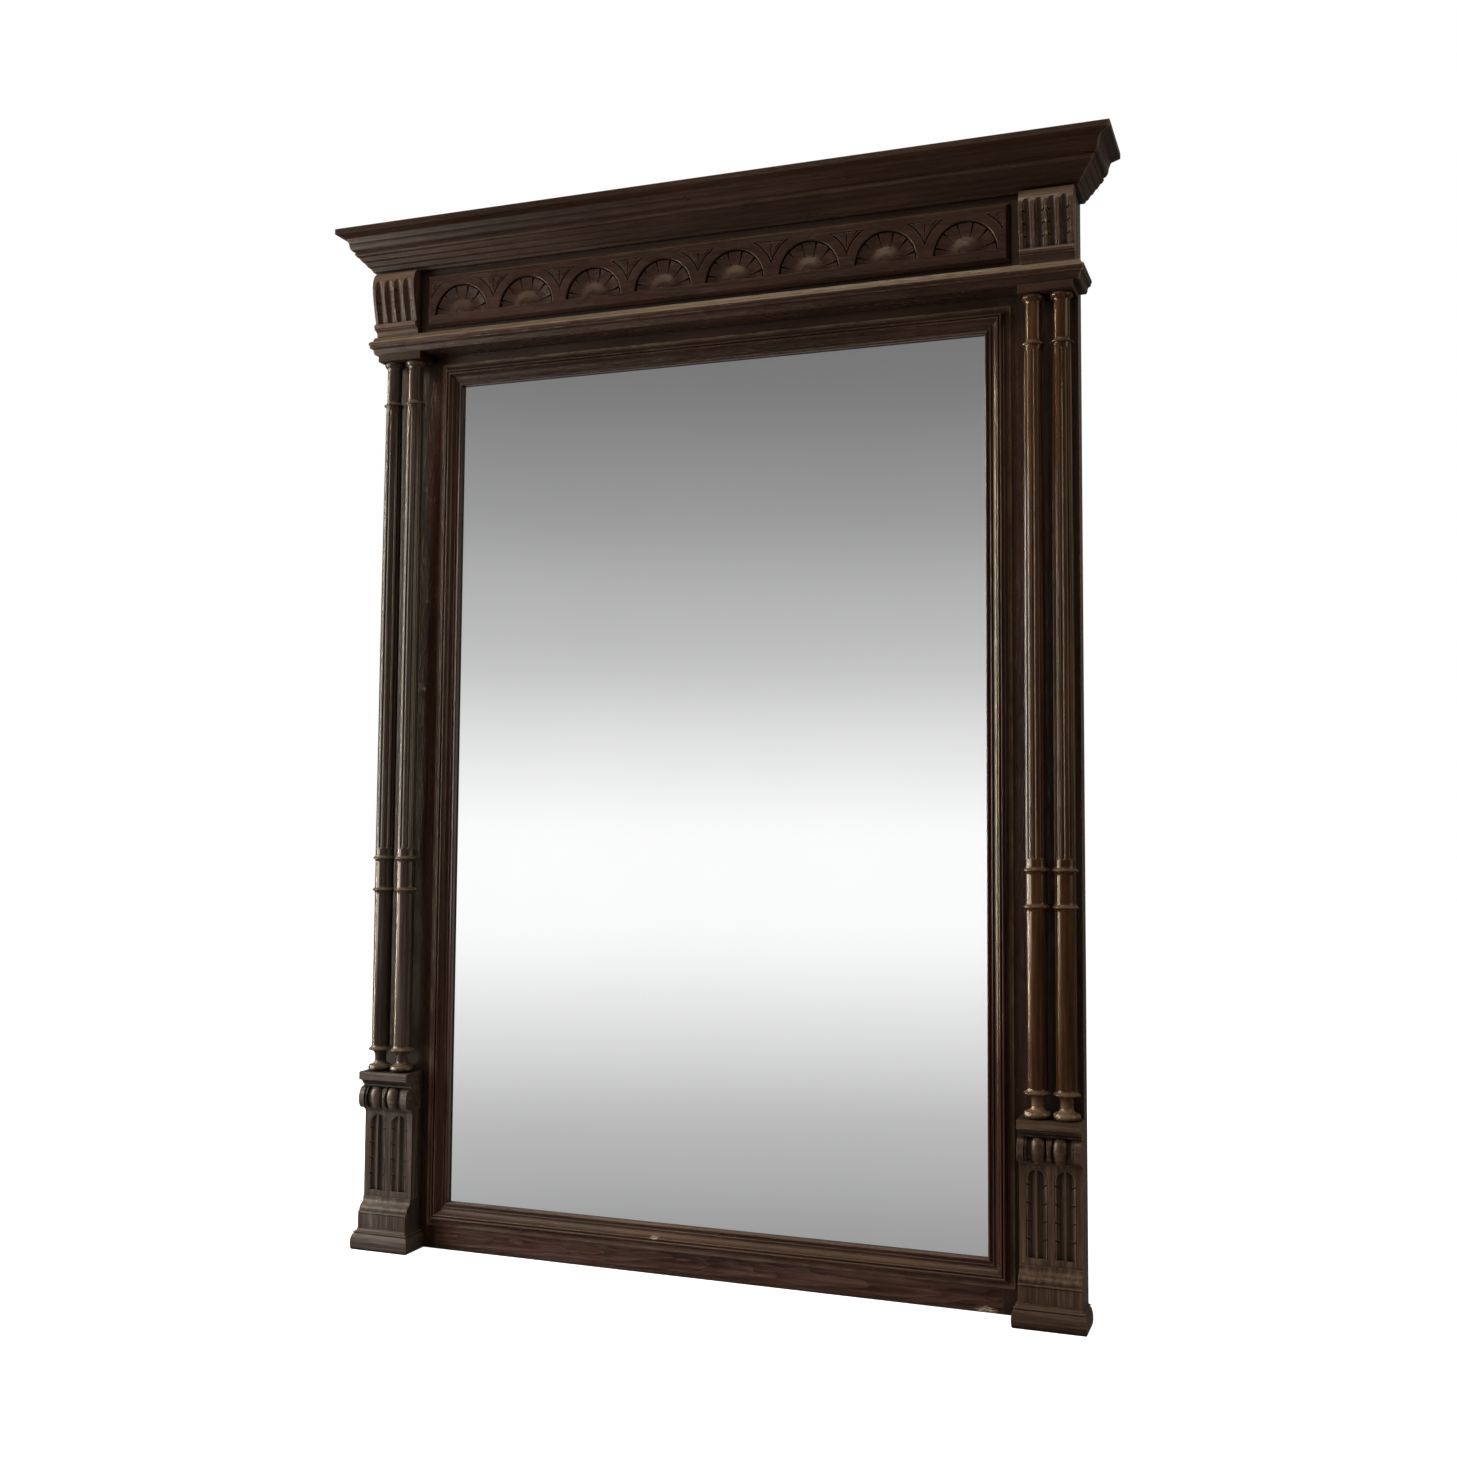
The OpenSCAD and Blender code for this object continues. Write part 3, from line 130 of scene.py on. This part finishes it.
# Screws: the noise of their rust, then colour and roughness of bare steel and of rust
RUST = (700.0, 3.0, 0.6)
STEEL_COLOUR = ((0.42, (0.26, 0.25, 0.24)), (0.66, (0.13, 0.06, 0.03)))
STEEL_ROUGHNESS = ((0.4, 0.35), (0.65, 0.75))
STEEL_METALLIC = 0.9

# Index of the Mix node's sockets for colours, since it has other sockets of the same names
MIX_A = 6
MIX_B = 7
MIX_RESULT = 2


class Nodes:
    """The node tree of a material or world, with short calls that add and link nodes."""

    def __init__(self, owner, output):
        owner.use_nodes = True
        self.owner = owner
        self.tree = owner.node_tree
        self.tree.nodes.clear()
        self.output = self.node(output)

    def node(self, kind, settings=None, *values, **inputs):
        """A new node. Values feed its sockets in order, inputs feed them by name, with _ for a space."""
        made = self.tree.nodes.new("ShaderNode" + kind)
        for key, value in (settings or {}).items():
            setattr(made, key, value)
        for socket, value in zip(made.inputs, values):
            self.feed(socket, value)
        for key, value in inputs.items():
            self.feed(made.inputs[key.replace("_", " ")], value)
        return made

    def feed(self, socket, value):
        if isinstance(value, bpy.types.NodeSocket):
            self.tree.links.new(value, socket)
        elif isinstance(value, tuple) and len(value) == 3 and socket.type == "RGBA":
            socket.default_value = (*value, 1.0)
        else:
            socket.default_value = value

    def math(self, operation, a, b, clamp=False):
        return self.node("Math", {"operation": operation, "use_clamp": clamp}, a, b).outputs[0]

    def product(self, a, b):
        return self.math("MULTIPLY", a, b)

    def total(self, *values):
        result = values[0]
        for value in values[1:]:
            result = self.math("ADD", result, value)
        return result

    def scaled(self, value, amount, centre=NOISE_MEAN):
        """A value's distance from a centre, times an amount."""
        return self.product(self.math("SUBTRACT", value, centre), amount)

    def mix(self, factor, a, b):
        made = self.node("Mix", {"data_type": "RGBA"}, factor)
        self.feed(made.inputs[MIX_A], a)
        self.feed(made.inputs[MIX_B], b)
        return made.outputs[MIX_RESULT]

    def ramp(self, factor, *stops, interpolation="LINEAR"):
        """A ramp whose stops are pairs of a place and a level or colour."""
        made = self.node("ValToRGB", None, factor)
        band = made.color_ramp
        band.interpolation = interpolation
        while len(band.elements) < len(stops):
            band.elements.new(0.5)
        for element, (place, level) in zip(band.elements, stops):
            colour = level if isinstance(level, tuple) else (level, level, level)
            element.position = place
            element.color = (*colour, 1.0)
        return made.outputs[0]

    def mapped(self, coords, settings=None, **how):
        return self.node("Mapping", settings, Vector=coords, **how).outputs[0]

    def noise(self, coords, scale, detail, rough):
        return self.node("TexNoise", Vector=coords, Scale=scale, Detail=detail, Roughness=rough).outputs[0]

    def occlusion(self, distance, inside=False):
        """How open it is within a distance of a point, before its surface or inside the wood behind it."""
        settings = {"samples": OCCLUSION_SAMPLES, "inside": inside}
        return self.node("AmbientOcclusion", settings, Distance=distance).outputs["AO"]

    def show(self, shader):
        self.tree.links.new(shader.outputs[0], self.output.inputs[0])
        return self.owner

    def surface(self, colour, rough, **inputs):
        return self.show(self.node("BsdfPrincipled", Base_Color=colour, Roughness=rough, **inputs))


class Material(Nodes):
    """The node tree of a new material."""

    def __init__(self, name):
        super().__init__(bpy.data.materials.new(name), "OutputMaterial")


def spread(seed, steps):
    """Numbers that differ from seed to seed and are the same in each run."""
    return tuple(seed * rate % span for rate, span in steps)


class Wood(Material):
    """Wood whose grain runs along X, Y or Z."""

    def __init__(self, name, grain, seed):
        super().__init__(name)
        self.name = name
        self.grain = grain
        self.seed = seed
        self.place = self.node("TexCoord").outputs["Object"]
        shift = spread(seed, SHIFT_STEPS)
        self.streaks = self.grain_noise(shift, *STREAKS)
        self.fibres = self.grain_noise(shift, *FIBRES)
        self.clouds = self.grain_noise(shift, *CLOUDS)
        self.rubbed = self.grain_noise(shift, *RUBBING)
        self.pores = self.ramp(self.grain_noise(shift, *PORES), *PORE_MASK)

    def grain_noise(self, shift, across, along, detail, rough):
        """Noise with one frequency across the grain and a lower one along it."""
        scale = [across] * 3
        scale["XYZ".index(self.grain)] = along
        return self.noise(self.mapped(self.place, Scale=tuple(scale), Location=shift), 1.0, detail, rough)

    def rings(self, middle, slant):
        """Growth rings about a middle line that slants a little, so that faces show long arches."""
        turn = [0.0, 0.0, 0.0]
        turn["YZX".index(self.grain)] = slant
        warp = self.scaled(self.grain_noise((self.seed, 0.0, 0.0), *RING_WARP), RING_WARP_REACH)
        slanted = self.mapped(self.place, Location=middle, Rotation=tuple(turn))
        bent = self.node("VectorMath", {"operation": "ADD"}, slanted, warp).outputs[0]
        settings = {"wave_type": "RINGS", "rings_direction": self.grain, "wave_profile": "SAW"}
        return self.node("TexWave", settings, Vector=bent, **RING_WAVE).outputs["Fac"]

    def stain(self, tones, shade, streak, figure, apart):
        """The wood's own colour, before age comes over it."""
        steps = spread(self.seed, MIDDLE_STEPS)
        middle = tuple(start + RING_MIDDLE_STEP * step for start, step in zip(RING_MIDDLE, steps))
        sawn = {"figure": figure, "slant": RING_SLANT, "middle": middle, **FIGURED.get(self.name, {})}
        own = (spread(self.seed, TONE_STEPS)[0] - 0.5) * OWN_TONE
        rings = self.rings(sawn["middle"], sawn["slant"])
        tone = self.total(TONE_LEVELS[1] + own,
                          self.scaled(self.streaks, streak),
                          self.scaled(self.clouds, CLOUD_TONE),
                          self.scaled(self.fibres, FIBRE_TONE),
                          self.scaled(rings, RING_TONE * sawn["figure"], RING_MEAN))
        if apart:
            by_board = self.node("NewGeometry").outputs["Random Per Island"]
            tone = self.total(tone, self.scaled(by_board, apart))
        # Shade scales the tones; set low for families at the top and high for the bottom rail's, it paints
        # shade and light
        colours = [tuple(shade * part for part in colour) for colour in tones]
        stained = self.ramp(tone, *zip(TONE_LEVELS, colours))
        return self.mix(self.product(self.pores, PORE_DARKNESS), stained, colours[0])

    def worn_edges(self):
        patches = self.ramp(self.rubbed, *EDGE_PATCHES)
        return self.product(self.ramp(self.occlusion(EDGE_REACH, inside=True), *EDGE_MASK), patches)

    # Mask of grime in hollows and crevices, which is also painted shade where shade falls
    def grime_and_painted_shade(self, hollow):
        return self.math("MAXIMUM", self.ramp(self.occlusion(hollow), *HOLLOW_MASK),
                         self.ramp(self.occlusion(CREVICE_REACH), *CREVICE_MASK))

    def dust_and_painted_top_light(self):
        """Mask of the faces that look up, paled by dust and fading and by painted light from above."""
        upward = self.node("SeparateXYZ", Vector=self.node("NewGeometry").outputs["Normal"]).outputs["Z"]
        return self.product(self.ramp(upward, *UPWARD_MASK), self.ramp(self.rubbed, *DUST_PATCHES))

    def painted_pale_foot(self, foot, dirt_and_shade):
        """Mask of painted light: clean wood painted pale up to some way above the pedestals."""
        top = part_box("pedestal_cap_right")[1][2] + foot
        height = self.node("SeparateXYZ", Vector=self.place).outputs["Z"]
        below = self.node("MapRange", Value=height, From_Min=top, From_Max=top - FOOT_FADE).outputs[0]
        clean = self.math("SUBTRACT", 1.0, dirt_and_shade, clamp=True)
        return self.product(self.product(below, self.ramp(self.rubbed, *FOOT_PATCHES)), clean)

    def scuffed_spot(self, middle, reach):
        """Mask of ragged scratches inside an oval."""
        low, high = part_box(self.name)
        foot = ((low[0] + high[0]) / 2, low[1], low[2])
        centre = tuple(start + part for start, part in zip(foot, middle))
        inside = self.mapped(self.place, {"vector_type": "TEXTURE"}, Location=centre, Scale=reach)
        far = self.node("VectorMath", {"operation": "LENGTH"}, inside).outputs["Value"]
        scratched = self.mapped(self.place, Rotation=SCRATCH_TURN, Scale=SCRATCH_SCALE)
        near = self.product(self.ramp(far, *SPOT_FADE), SPOT_WEIGHT)
        return self.ramp(self.total(near, self.noise(scratched, 1.0, *SCRATCH_DETAIL)), *SPOT_MASK)

    def bump(self, relief):
        """The grain's relief on a surface whose sharp edges are a little rounded."""
        height = self.total(self.product(self.streaks, STREAK_RELIEF), self.product(self.pores, PORE_RELIEF),
                            self.product(self.fibres, FIBRE_RELIEF))
        rounded = self.node("Bevel", {"samples": ROUNDING_SAMPLES}, Radius=EDGE_ROUNDING).outputs[0]
        return self.node("Bump", Strength=relief, Distance=RELIEF_DEPTH, Height=height,
                         Normal=rounded).outputs[0]


def wood(name, grain, seed, tones, wear, grime_and_shade, roughness, shade=1.0, streak=1.1, figure=0.35, dust_and_top_light=0.3,
         sheen=0.34, relief=0.5, foot=None, apart=0.0, hollow=0.009):
    """Waxed and worn wood.

    Tones and shade give its colour; shade is set low for the families at the top and high for the bottom
    rail's, a painted shade and light. Streak, figure and apart say how strongly its grain, its rings and its
    single boards show. Wear says how far edges are rubbed. The grime strength darkens hollows as soiling and
    as painted shade, and the dust strength pales the faces that look up as fading and as painted light.
    Roughness, sheen and relief shape the shine. In metres, hollow is how wide the hollows are that this
    darkening reaches, and foot is how far above its pedestal the wood is painted pale, a painted light.
    """
    s = Wood(name, grain, seed)
    colour = s.stain(tones, shade, streak, figure, apart)
    dirt_and_shade = s.grime_and_painted_shade(hollow)
    top_dust_and_light = s.dust_and_painted_top_light()
    colour = s.mix(s.product(s.worn_edges(), wear), colour, WORN_AND_LIT_WOOD)
    # Grime darkens the hollows, and with it painted shade
    colour = s.mix(s.product(dirt_and_shade, grime_and_shade), colour, GRIME_AND_SHADE)
    # Dust and fading pale the tops, and with them painted light from above
    colour = s.mix(s.product(top_dust_and_light, dust_and_top_light), colour, FADED_AND_TOP_LIT)
    # Painted light: the feet of the right colonnettes painted pale
    if foot:
        colour = s.mix(s.painted_pale_foot(foot, dirt_and_shade), colour, WORN_AND_LIT_WOOD)
    if name in MARKS:
        colour = s.mix(s.scuffed_spot(**MARKS[name]), colour, BARE_WOOD)
    rough = s.total(roughness, s.product(s.rubbed, RUBBED_ROUGHNESS), s.product(dirt_and_shade, GRIME_ROUGHNESS),
                    s.product(top_dust_and_light, DUST_ROUGHNESS))
    return s.surface(colour, rough, Normal=s.bump(relief), Specular_IOR_Level=sheen, Specular_Tint=VARNISH)


def looking_glass():
    """Silvered glass with the faint unevenness of old plate."""
    s = Material("looking_glass")
    haze = s.noise(s.node("TexCoord").outputs["Object"], *HAZE)
    silver = s.ramp(haze, *SILVER)
    film = s.ramp(haze, *FILM)
    return s.surface(silver, 0.0, Metallic=1.0, Coat_Weight=film, Coat_Roughness=FILM_ROUGHNESS)


def screw_steel():
    """Dull steel with spots of rust."""
    s = Material("screw_steel")
    rust = s.noise(s.node("TexCoord").outputs["Object"], *RUST)
    colour = s.ramp(rust, *STEEL_COLOUR)
    return s.surface(colour, s.ramp(rust, *STEEL_ROUGHNESS), Metallic=STEEL_METALLIC)


# Grain of each piece, by how its name starts. What isn't listed runs along X
UPRIGHT = ("stile", "sight_moulding_left", "sight_moulding_right", "glass_fillet_left",
           "glass_fillet_right", "backing", "plinth", "pedestal_die", "colonnette")
FORE_AND_AFT = ("tenon_pegs", "ledge_return", "bed_return", "crown_return")

# What finishes have in common
CARVED = dict(streak=0.8, figure=0.2)
ON_PEDESTALS = dict(streak=1.5, wear=0.85, grime_and_shade=1.0, dust_and_top_light=0.0, roughness=0.22, hollow=0.014)
TURNED = dict(figure=0.2, wear=0.6, grime_and_shade=0.95, dust_and_top_light=0.4)

# Finish of each family of pieces, as the settings of wood()
# Shade set low at the top (cornice, ledge, upper oak, carved oak) is painted shade, and set high on the
# lower oak painted light
FAMILIES = {
    # The oak's wide hollow darkens the stiles beside the colonnettes with painted shade
    "oak": dict(tones=STAINED_OAK, shade=1.03, wear=0.42, grime_and_shade=0.9, dust_and_top_light=0.2, roughness=0.16, hollow=0.026),
    "sight_oak": dict(tones=STAINED_OAK, shade=0.96, wear=0.5, grime_and_shade=0.95, dust_and_top_light=0.2, roughness=0.09,
                      relief=0.3),
    "lower_oak": dict(tones=STAINED_OAK, shade=1.22, streak=1.5, wear=0.42, grime_and_shade=0.85, dust_and_top_light=0.15,
                      roughness=0.2),
    "upper_oak": dict(tones=STAINED_OAK, shade=0.78, wear=0.42, grime_and_shade=0.9, dust_and_top_light=0.15, roughness=0.16),
    "cornice": dict(tones=STAINED_OAK, shade=0.66, streak=0.65, wear=0.42, grime_and_shade=0.95, dust_and_top_light=0.4,
                    roughness=0.2, sheen=0.27, relief=0.25),
    # The ledge's nose is paled by dust at full strength, much of it painted light from above
    "ledge": dict(tones=STAINED_OAK, shade=0.68, streak=0.9, wear=0.7, grime_and_shade=0.95, dust_and_top_light=1.0, roughness=0.18),
    "carved_oak": dict(CARVED, tones=STAINED_OAK, shade=0.62, wear=0.6, grime_and_shade=0.95, dust_and_top_light=0.35,
                       roughness=0.2, sheen=0.17),
    "console": dict(CARVED, tones=CARVED_OAK, shade=1.18, wear=1.0, grime_and_shade=1.0, roughness=0.19, hollow=0.016),
    "pedestal": dict(ON_PEDESTALS, tones=PEDESTAL_OAK, shade=1.12),
    "cooler_left_pedestal": dict(ON_PEDESTALS, tones=COOLER_LEFT_OAK, shade=1.14),
    # Left colonnettes, with the cooler tones given to the left side
    "turned_oak": dict(TURNED, tones=COOLER_LEFT_OAK, shade=0.86, roughness=0.06, relief=0.12),
    # Right colonnettes, their feet painted pale: a painted light
    "pale_footed_turned_oak": dict(TURNED, tones=TURNED_OAK, shade=0.9, roughness=0.04, relief=0.15, foot=0.032),
    "raw_wood": dict(tones=RAW_WOOD, figure=0.8, wear=0.2, grime_and_shade=0.7, dust_and_top_light=0.2, roughness=0.67, apart=0.3),
    "packing": dict(tones=RAW_WOOD, shade=0.3, figure=0.5, wear=0.2, grime_and_shade=0.8, dust_and_top_light=0.1, roughness=0.52),
}

# Pieces whose family isn't their material slot, by how their names start. The first that fits counts
SHADES = {
    # The pieces on the left get cooler, greyer tones than those on the right
    ("base_moulding_left", "plinth_left", "pedestal_die_left", "gadroon_band_left", "pedestal_cap_left"):
        "cooler_left_pedestal",
    ("base_moulding", "plinth", "pedestal", "gadroon"): "pedestal",
    ("bottom_rail", "sight_moulding_bottom"): "lower_oak",
    ("sight_moulding_top",): "upper_oak",
    ("sight_moulding_left", "sight_moulding_right"): "sight_oak",
    ("ledge",): "ledge",
    ("console",): "console",
    ("frieze_packing",): "packing",
    ("colonnette_right",): "pale_footed_turned_oak",
    ("crown", "bed", "impost", "frieze_board", "top_board", "top_rail"): "cornice",
}


def grain_of(name):
    if name.startswith(UPRIGHT):
        return "Z"
    if name.startswith(FORE_AND_AFT):
        return "Y"
    return "X"


def family_of(name, slot):
    return next((family for starts, family in SHADES.items() if name.startswith(starts)), slot)


def dress_nodes():
    """A finish of its own for each piece of wood, and one each for the glass and the screws."""
    slots = {part["node"]: part["material_slot"] for part in frame["record"]["subparts"]}
    shared = {"looking_glass": looking_glass(), "screw_steel": screw_steel()}
    for number, (name, piece) in enumerate(sorted(frame["nodes"].items())):
        slot = slots[name]
        if slot in shared:
            finish = shared[slot]
        else:
            finish = wood(name, grain_of(name), number + FIRST_SEED, **FAMILIES[family_of(name, slot)])
        piece.data.materials.clear()
        piece.data.materials.append(finish)


# Camera, as fitted to the photograph: optics in its pixels, place in metres, turns in radians
PHOTO_SIDE = 1457
FOCAL = 1592.2
CENTRE_U = 729.5
CENTRE_V = 707.75
CAMERA_PLACE = Vector((0.8597, -2.1638, 0.6724))
PITCH = -0.0713
YAW = 0.3572
ROLL = -0.0178

# The camera's own settings, in millimetres and metres
SENSOR = 36.0
NEAREST = 0.05
FARTHEST = 60.0


def add_to_scene(item):
    bpy.context.scene.collection.objects.link(item)
    return item


def add_camera():
    # Rows of the fit: the camera's right, down and forward when it looks along +Y
    untilted = Matrix(((1, 0, 0), (0, 0, -1), (0, 1, 0)))
    turned = Matrix.Rotation(ROLL, 3, "Z") @ Matrix.Rotation(YAW, 3, "Y") @ Matrix.Rotation(PITCH, 3, "X")
    right, down, forward = turned @ untilted
    data = bpy.data.cameras.new("photo_camera")
    data.sensor_width = SENSOR
    data.lens = FOCAL * SENSOR / PHOTO_SIDE
    data.shift_x = (PHOTO_SIDE / 2 - CENTRE_U) / PHOTO_SIDE
    data.shift_y = (CENTRE_V - PHOTO_SIDE / 2) / PHOTO_SIDE
    data.clip_start = NEAREST
    data.clip_end = FARTHEST
    camera = add_to_scene(bpy.data.objects.new("photo_camera", data))
    turn = Matrix((right, -down, -forward)).transposed()
    camera.matrix_world = Matrix.Translation(CAMERA_PLACE) @ turn.to_4x4()
    bpy.context.scene.camera = camera


# Lamps: a window with skylight at the left, a slim warm one that grazes the front, and weak light from
# elsewhere. Places, targets, widths and heights are in metres
SOFTBOXES = {
    "window": dict(place=(-2.2, -1.35, 1.0), target=(0.2, 0.0, 0.8), size=(0.9, 1.5), watts=66,
                   colour=(0.88, 0.94, 1.0)),
    "sky": dict(place=(-1.4, -0.9, 0.3), target=(-0.5, 0.0, 0.2), size=(0.6, 0.8), watts=8,
                colour=(0.5, 0.72, 1.0), glossy=False),
    "slim_window": dict(place=(-2.6, -0.34, 1.24), target=(0.5, -0.1, 1.24), size=(0.08, 2.46), watts=74,
                        colour=(1.0, 0.9, 0.72)),
    "overhead": dict(place=(-0.4, -1.5, 3.3), target=(0.0, 0.0, 0.9), size=(1.4, 0.7), watts=27,
                     colour=(1.0, 0.93, 0.82)),
    "fill": dict(place=(2.6, -0.5, 1.3), target=(0.5, 0.0, 0.9), size=(1.2, 1.6), watts=14,
                 colour=(1.0, 0.94, 0.74)),
    "behind": dict(place=(0.4, 2.6, 1.7), target=(0.0, 0.0, 0.8), size=(1.6, 1.2), watts=22,
                   colour=(1.0, 0.97, 0.93), glossy=False),
}


def add_softbox(name, place, target, size, watts, colour, glossy=True):
    data = bpy.data.lights.new(name, "AREA")
    data.shape = "RECTANGLE"
    data.size, data.size_y = size
    data.energy = watts
    data.color = colour
    lamp = add_to_scene(bpy.data.objects.new(name, data))
    lamp.location = place
    lamp.rotation_mode = "QUATERNION"
    lamp.rotation_quaternion = (Vector(target) - Vector(place)).to_track_quat("-Z", "Y")
    lamp.visible_glossy = glossy


def add_lights():
    for name, settings in SOFTBOXES.items():
        add_softbox(name, **settings)


# The room's brightness from straight below (0) over eye level (0.5) to straight above (1): as the looking
# glass shows it, and as it lights the object, with the tint of that light
MIRRORED = ((0.0, 0.16), (0.30, 0.18), (0.38, 0.37), (0.415, 0.58), (0.45, 0.89), (0.478, 1.0),
            (0.505, 0.92), (0.54, 0.62), (0.58, 0.40), (0.62, 0.24), (0.66, 0.17), (1.0, 0.15))
LIGHTING = ((0.0, 0.08), (0.5, 0.11), (0.75, 0.22), (1.0, 0.32))
ROOM_TINT = (1.0, 0.9, 0.76)

# The background, and the light of the floor that goes over into it
WHITE = (1.0, 1.0, 1.0)


def add_world():
    """White to the camera, brightest at eye level to the glass, dim and warm to the wood."""
    world = bpy.data.worlds.new("studio")
    bpy.context.scene.world = world
    s = Nodes(world, "OutputWorld")
    upward = s.node("SeparateXYZ", Vector=s.node("TexCoord").outputs["Generated"]).outputs["Z"]
    level = s.total(s.product(upward, 0.5), 0.5)
    tinted = [(place, tuple(bright * part for part in ROOM_TINT)) for place, bright in LIGHTING]
    mirrored = s.ramp(level, *MIRRORED, interpolation="CARDINAL")
    lighting = s.ramp(level, *tinted, interpolation="CARDINAL")
    path = s.node("LightPath").outputs
    room = s.mix(path["Is Singular Ray"], lighting, mirrored)
    seen = s.math("MAXIMUM", path["Is Camera Ray"], path["Is Transmission Ray"])
    s.show(s.node("Background", Color=s.mix(seen, room, WHITE)))


# Floor: its half width in metres, and its brightness to the camera and to the light
FLOOR_REACH = 12.0
FLOOR_GLOW = 0.9
FLOOR_PAINT = (0.6, 0.6, 0.6)
FLOOR_BOUNCE = (0.7, 0.7, 0.7)


def floor_paint():
    """Pale enough to go over into the white background, and still with the mirror's shadow."""
    s = Material("floor_white")
    glow = s.node("Emission", Color=WHITE, Strength=FLOOR_GLOW).outputs[0]
    paint = s.node("BsdfDiffuse", Color=FLOOR_PAINT).outputs[0]
    plain = s.node("BsdfDiffuse", Color=FLOOR_BOUNCE).outputs[0]
    seen = s.node("AddShader", None, glow, paint).outputs[0]
    to_camera = s.node("LightPath").outputs["Is Camera Ray"]
    return s.show(s.node("MixShader", None, to_camera, plain, seen))


def add_floor():
    mesh = bpy.data.meshes.new("floor")
    corners = [(-FLOOR_REACH, -FLOOR_REACH, 0), (FLOOR_REACH, -FLOOR_REACH, 0),
               (FLOOR_REACH, FLOOR_REACH, 0), (-FLOOR_REACH, FLOOR_REACH, 0)]
    mesh.from_pydata(corners, [], [(0, 1, 2, 3)])
    mesh.materials.append(floor_paint())
    floor = add_to_scene(bpy.data.objects.new("floor", mesh))
    floor.visible_glossy = False


add_camera()
dress_nodes()
add_lights()
add_world()
add_floor()
bpy.context.scene.view_settings.view_transform = "Standard"
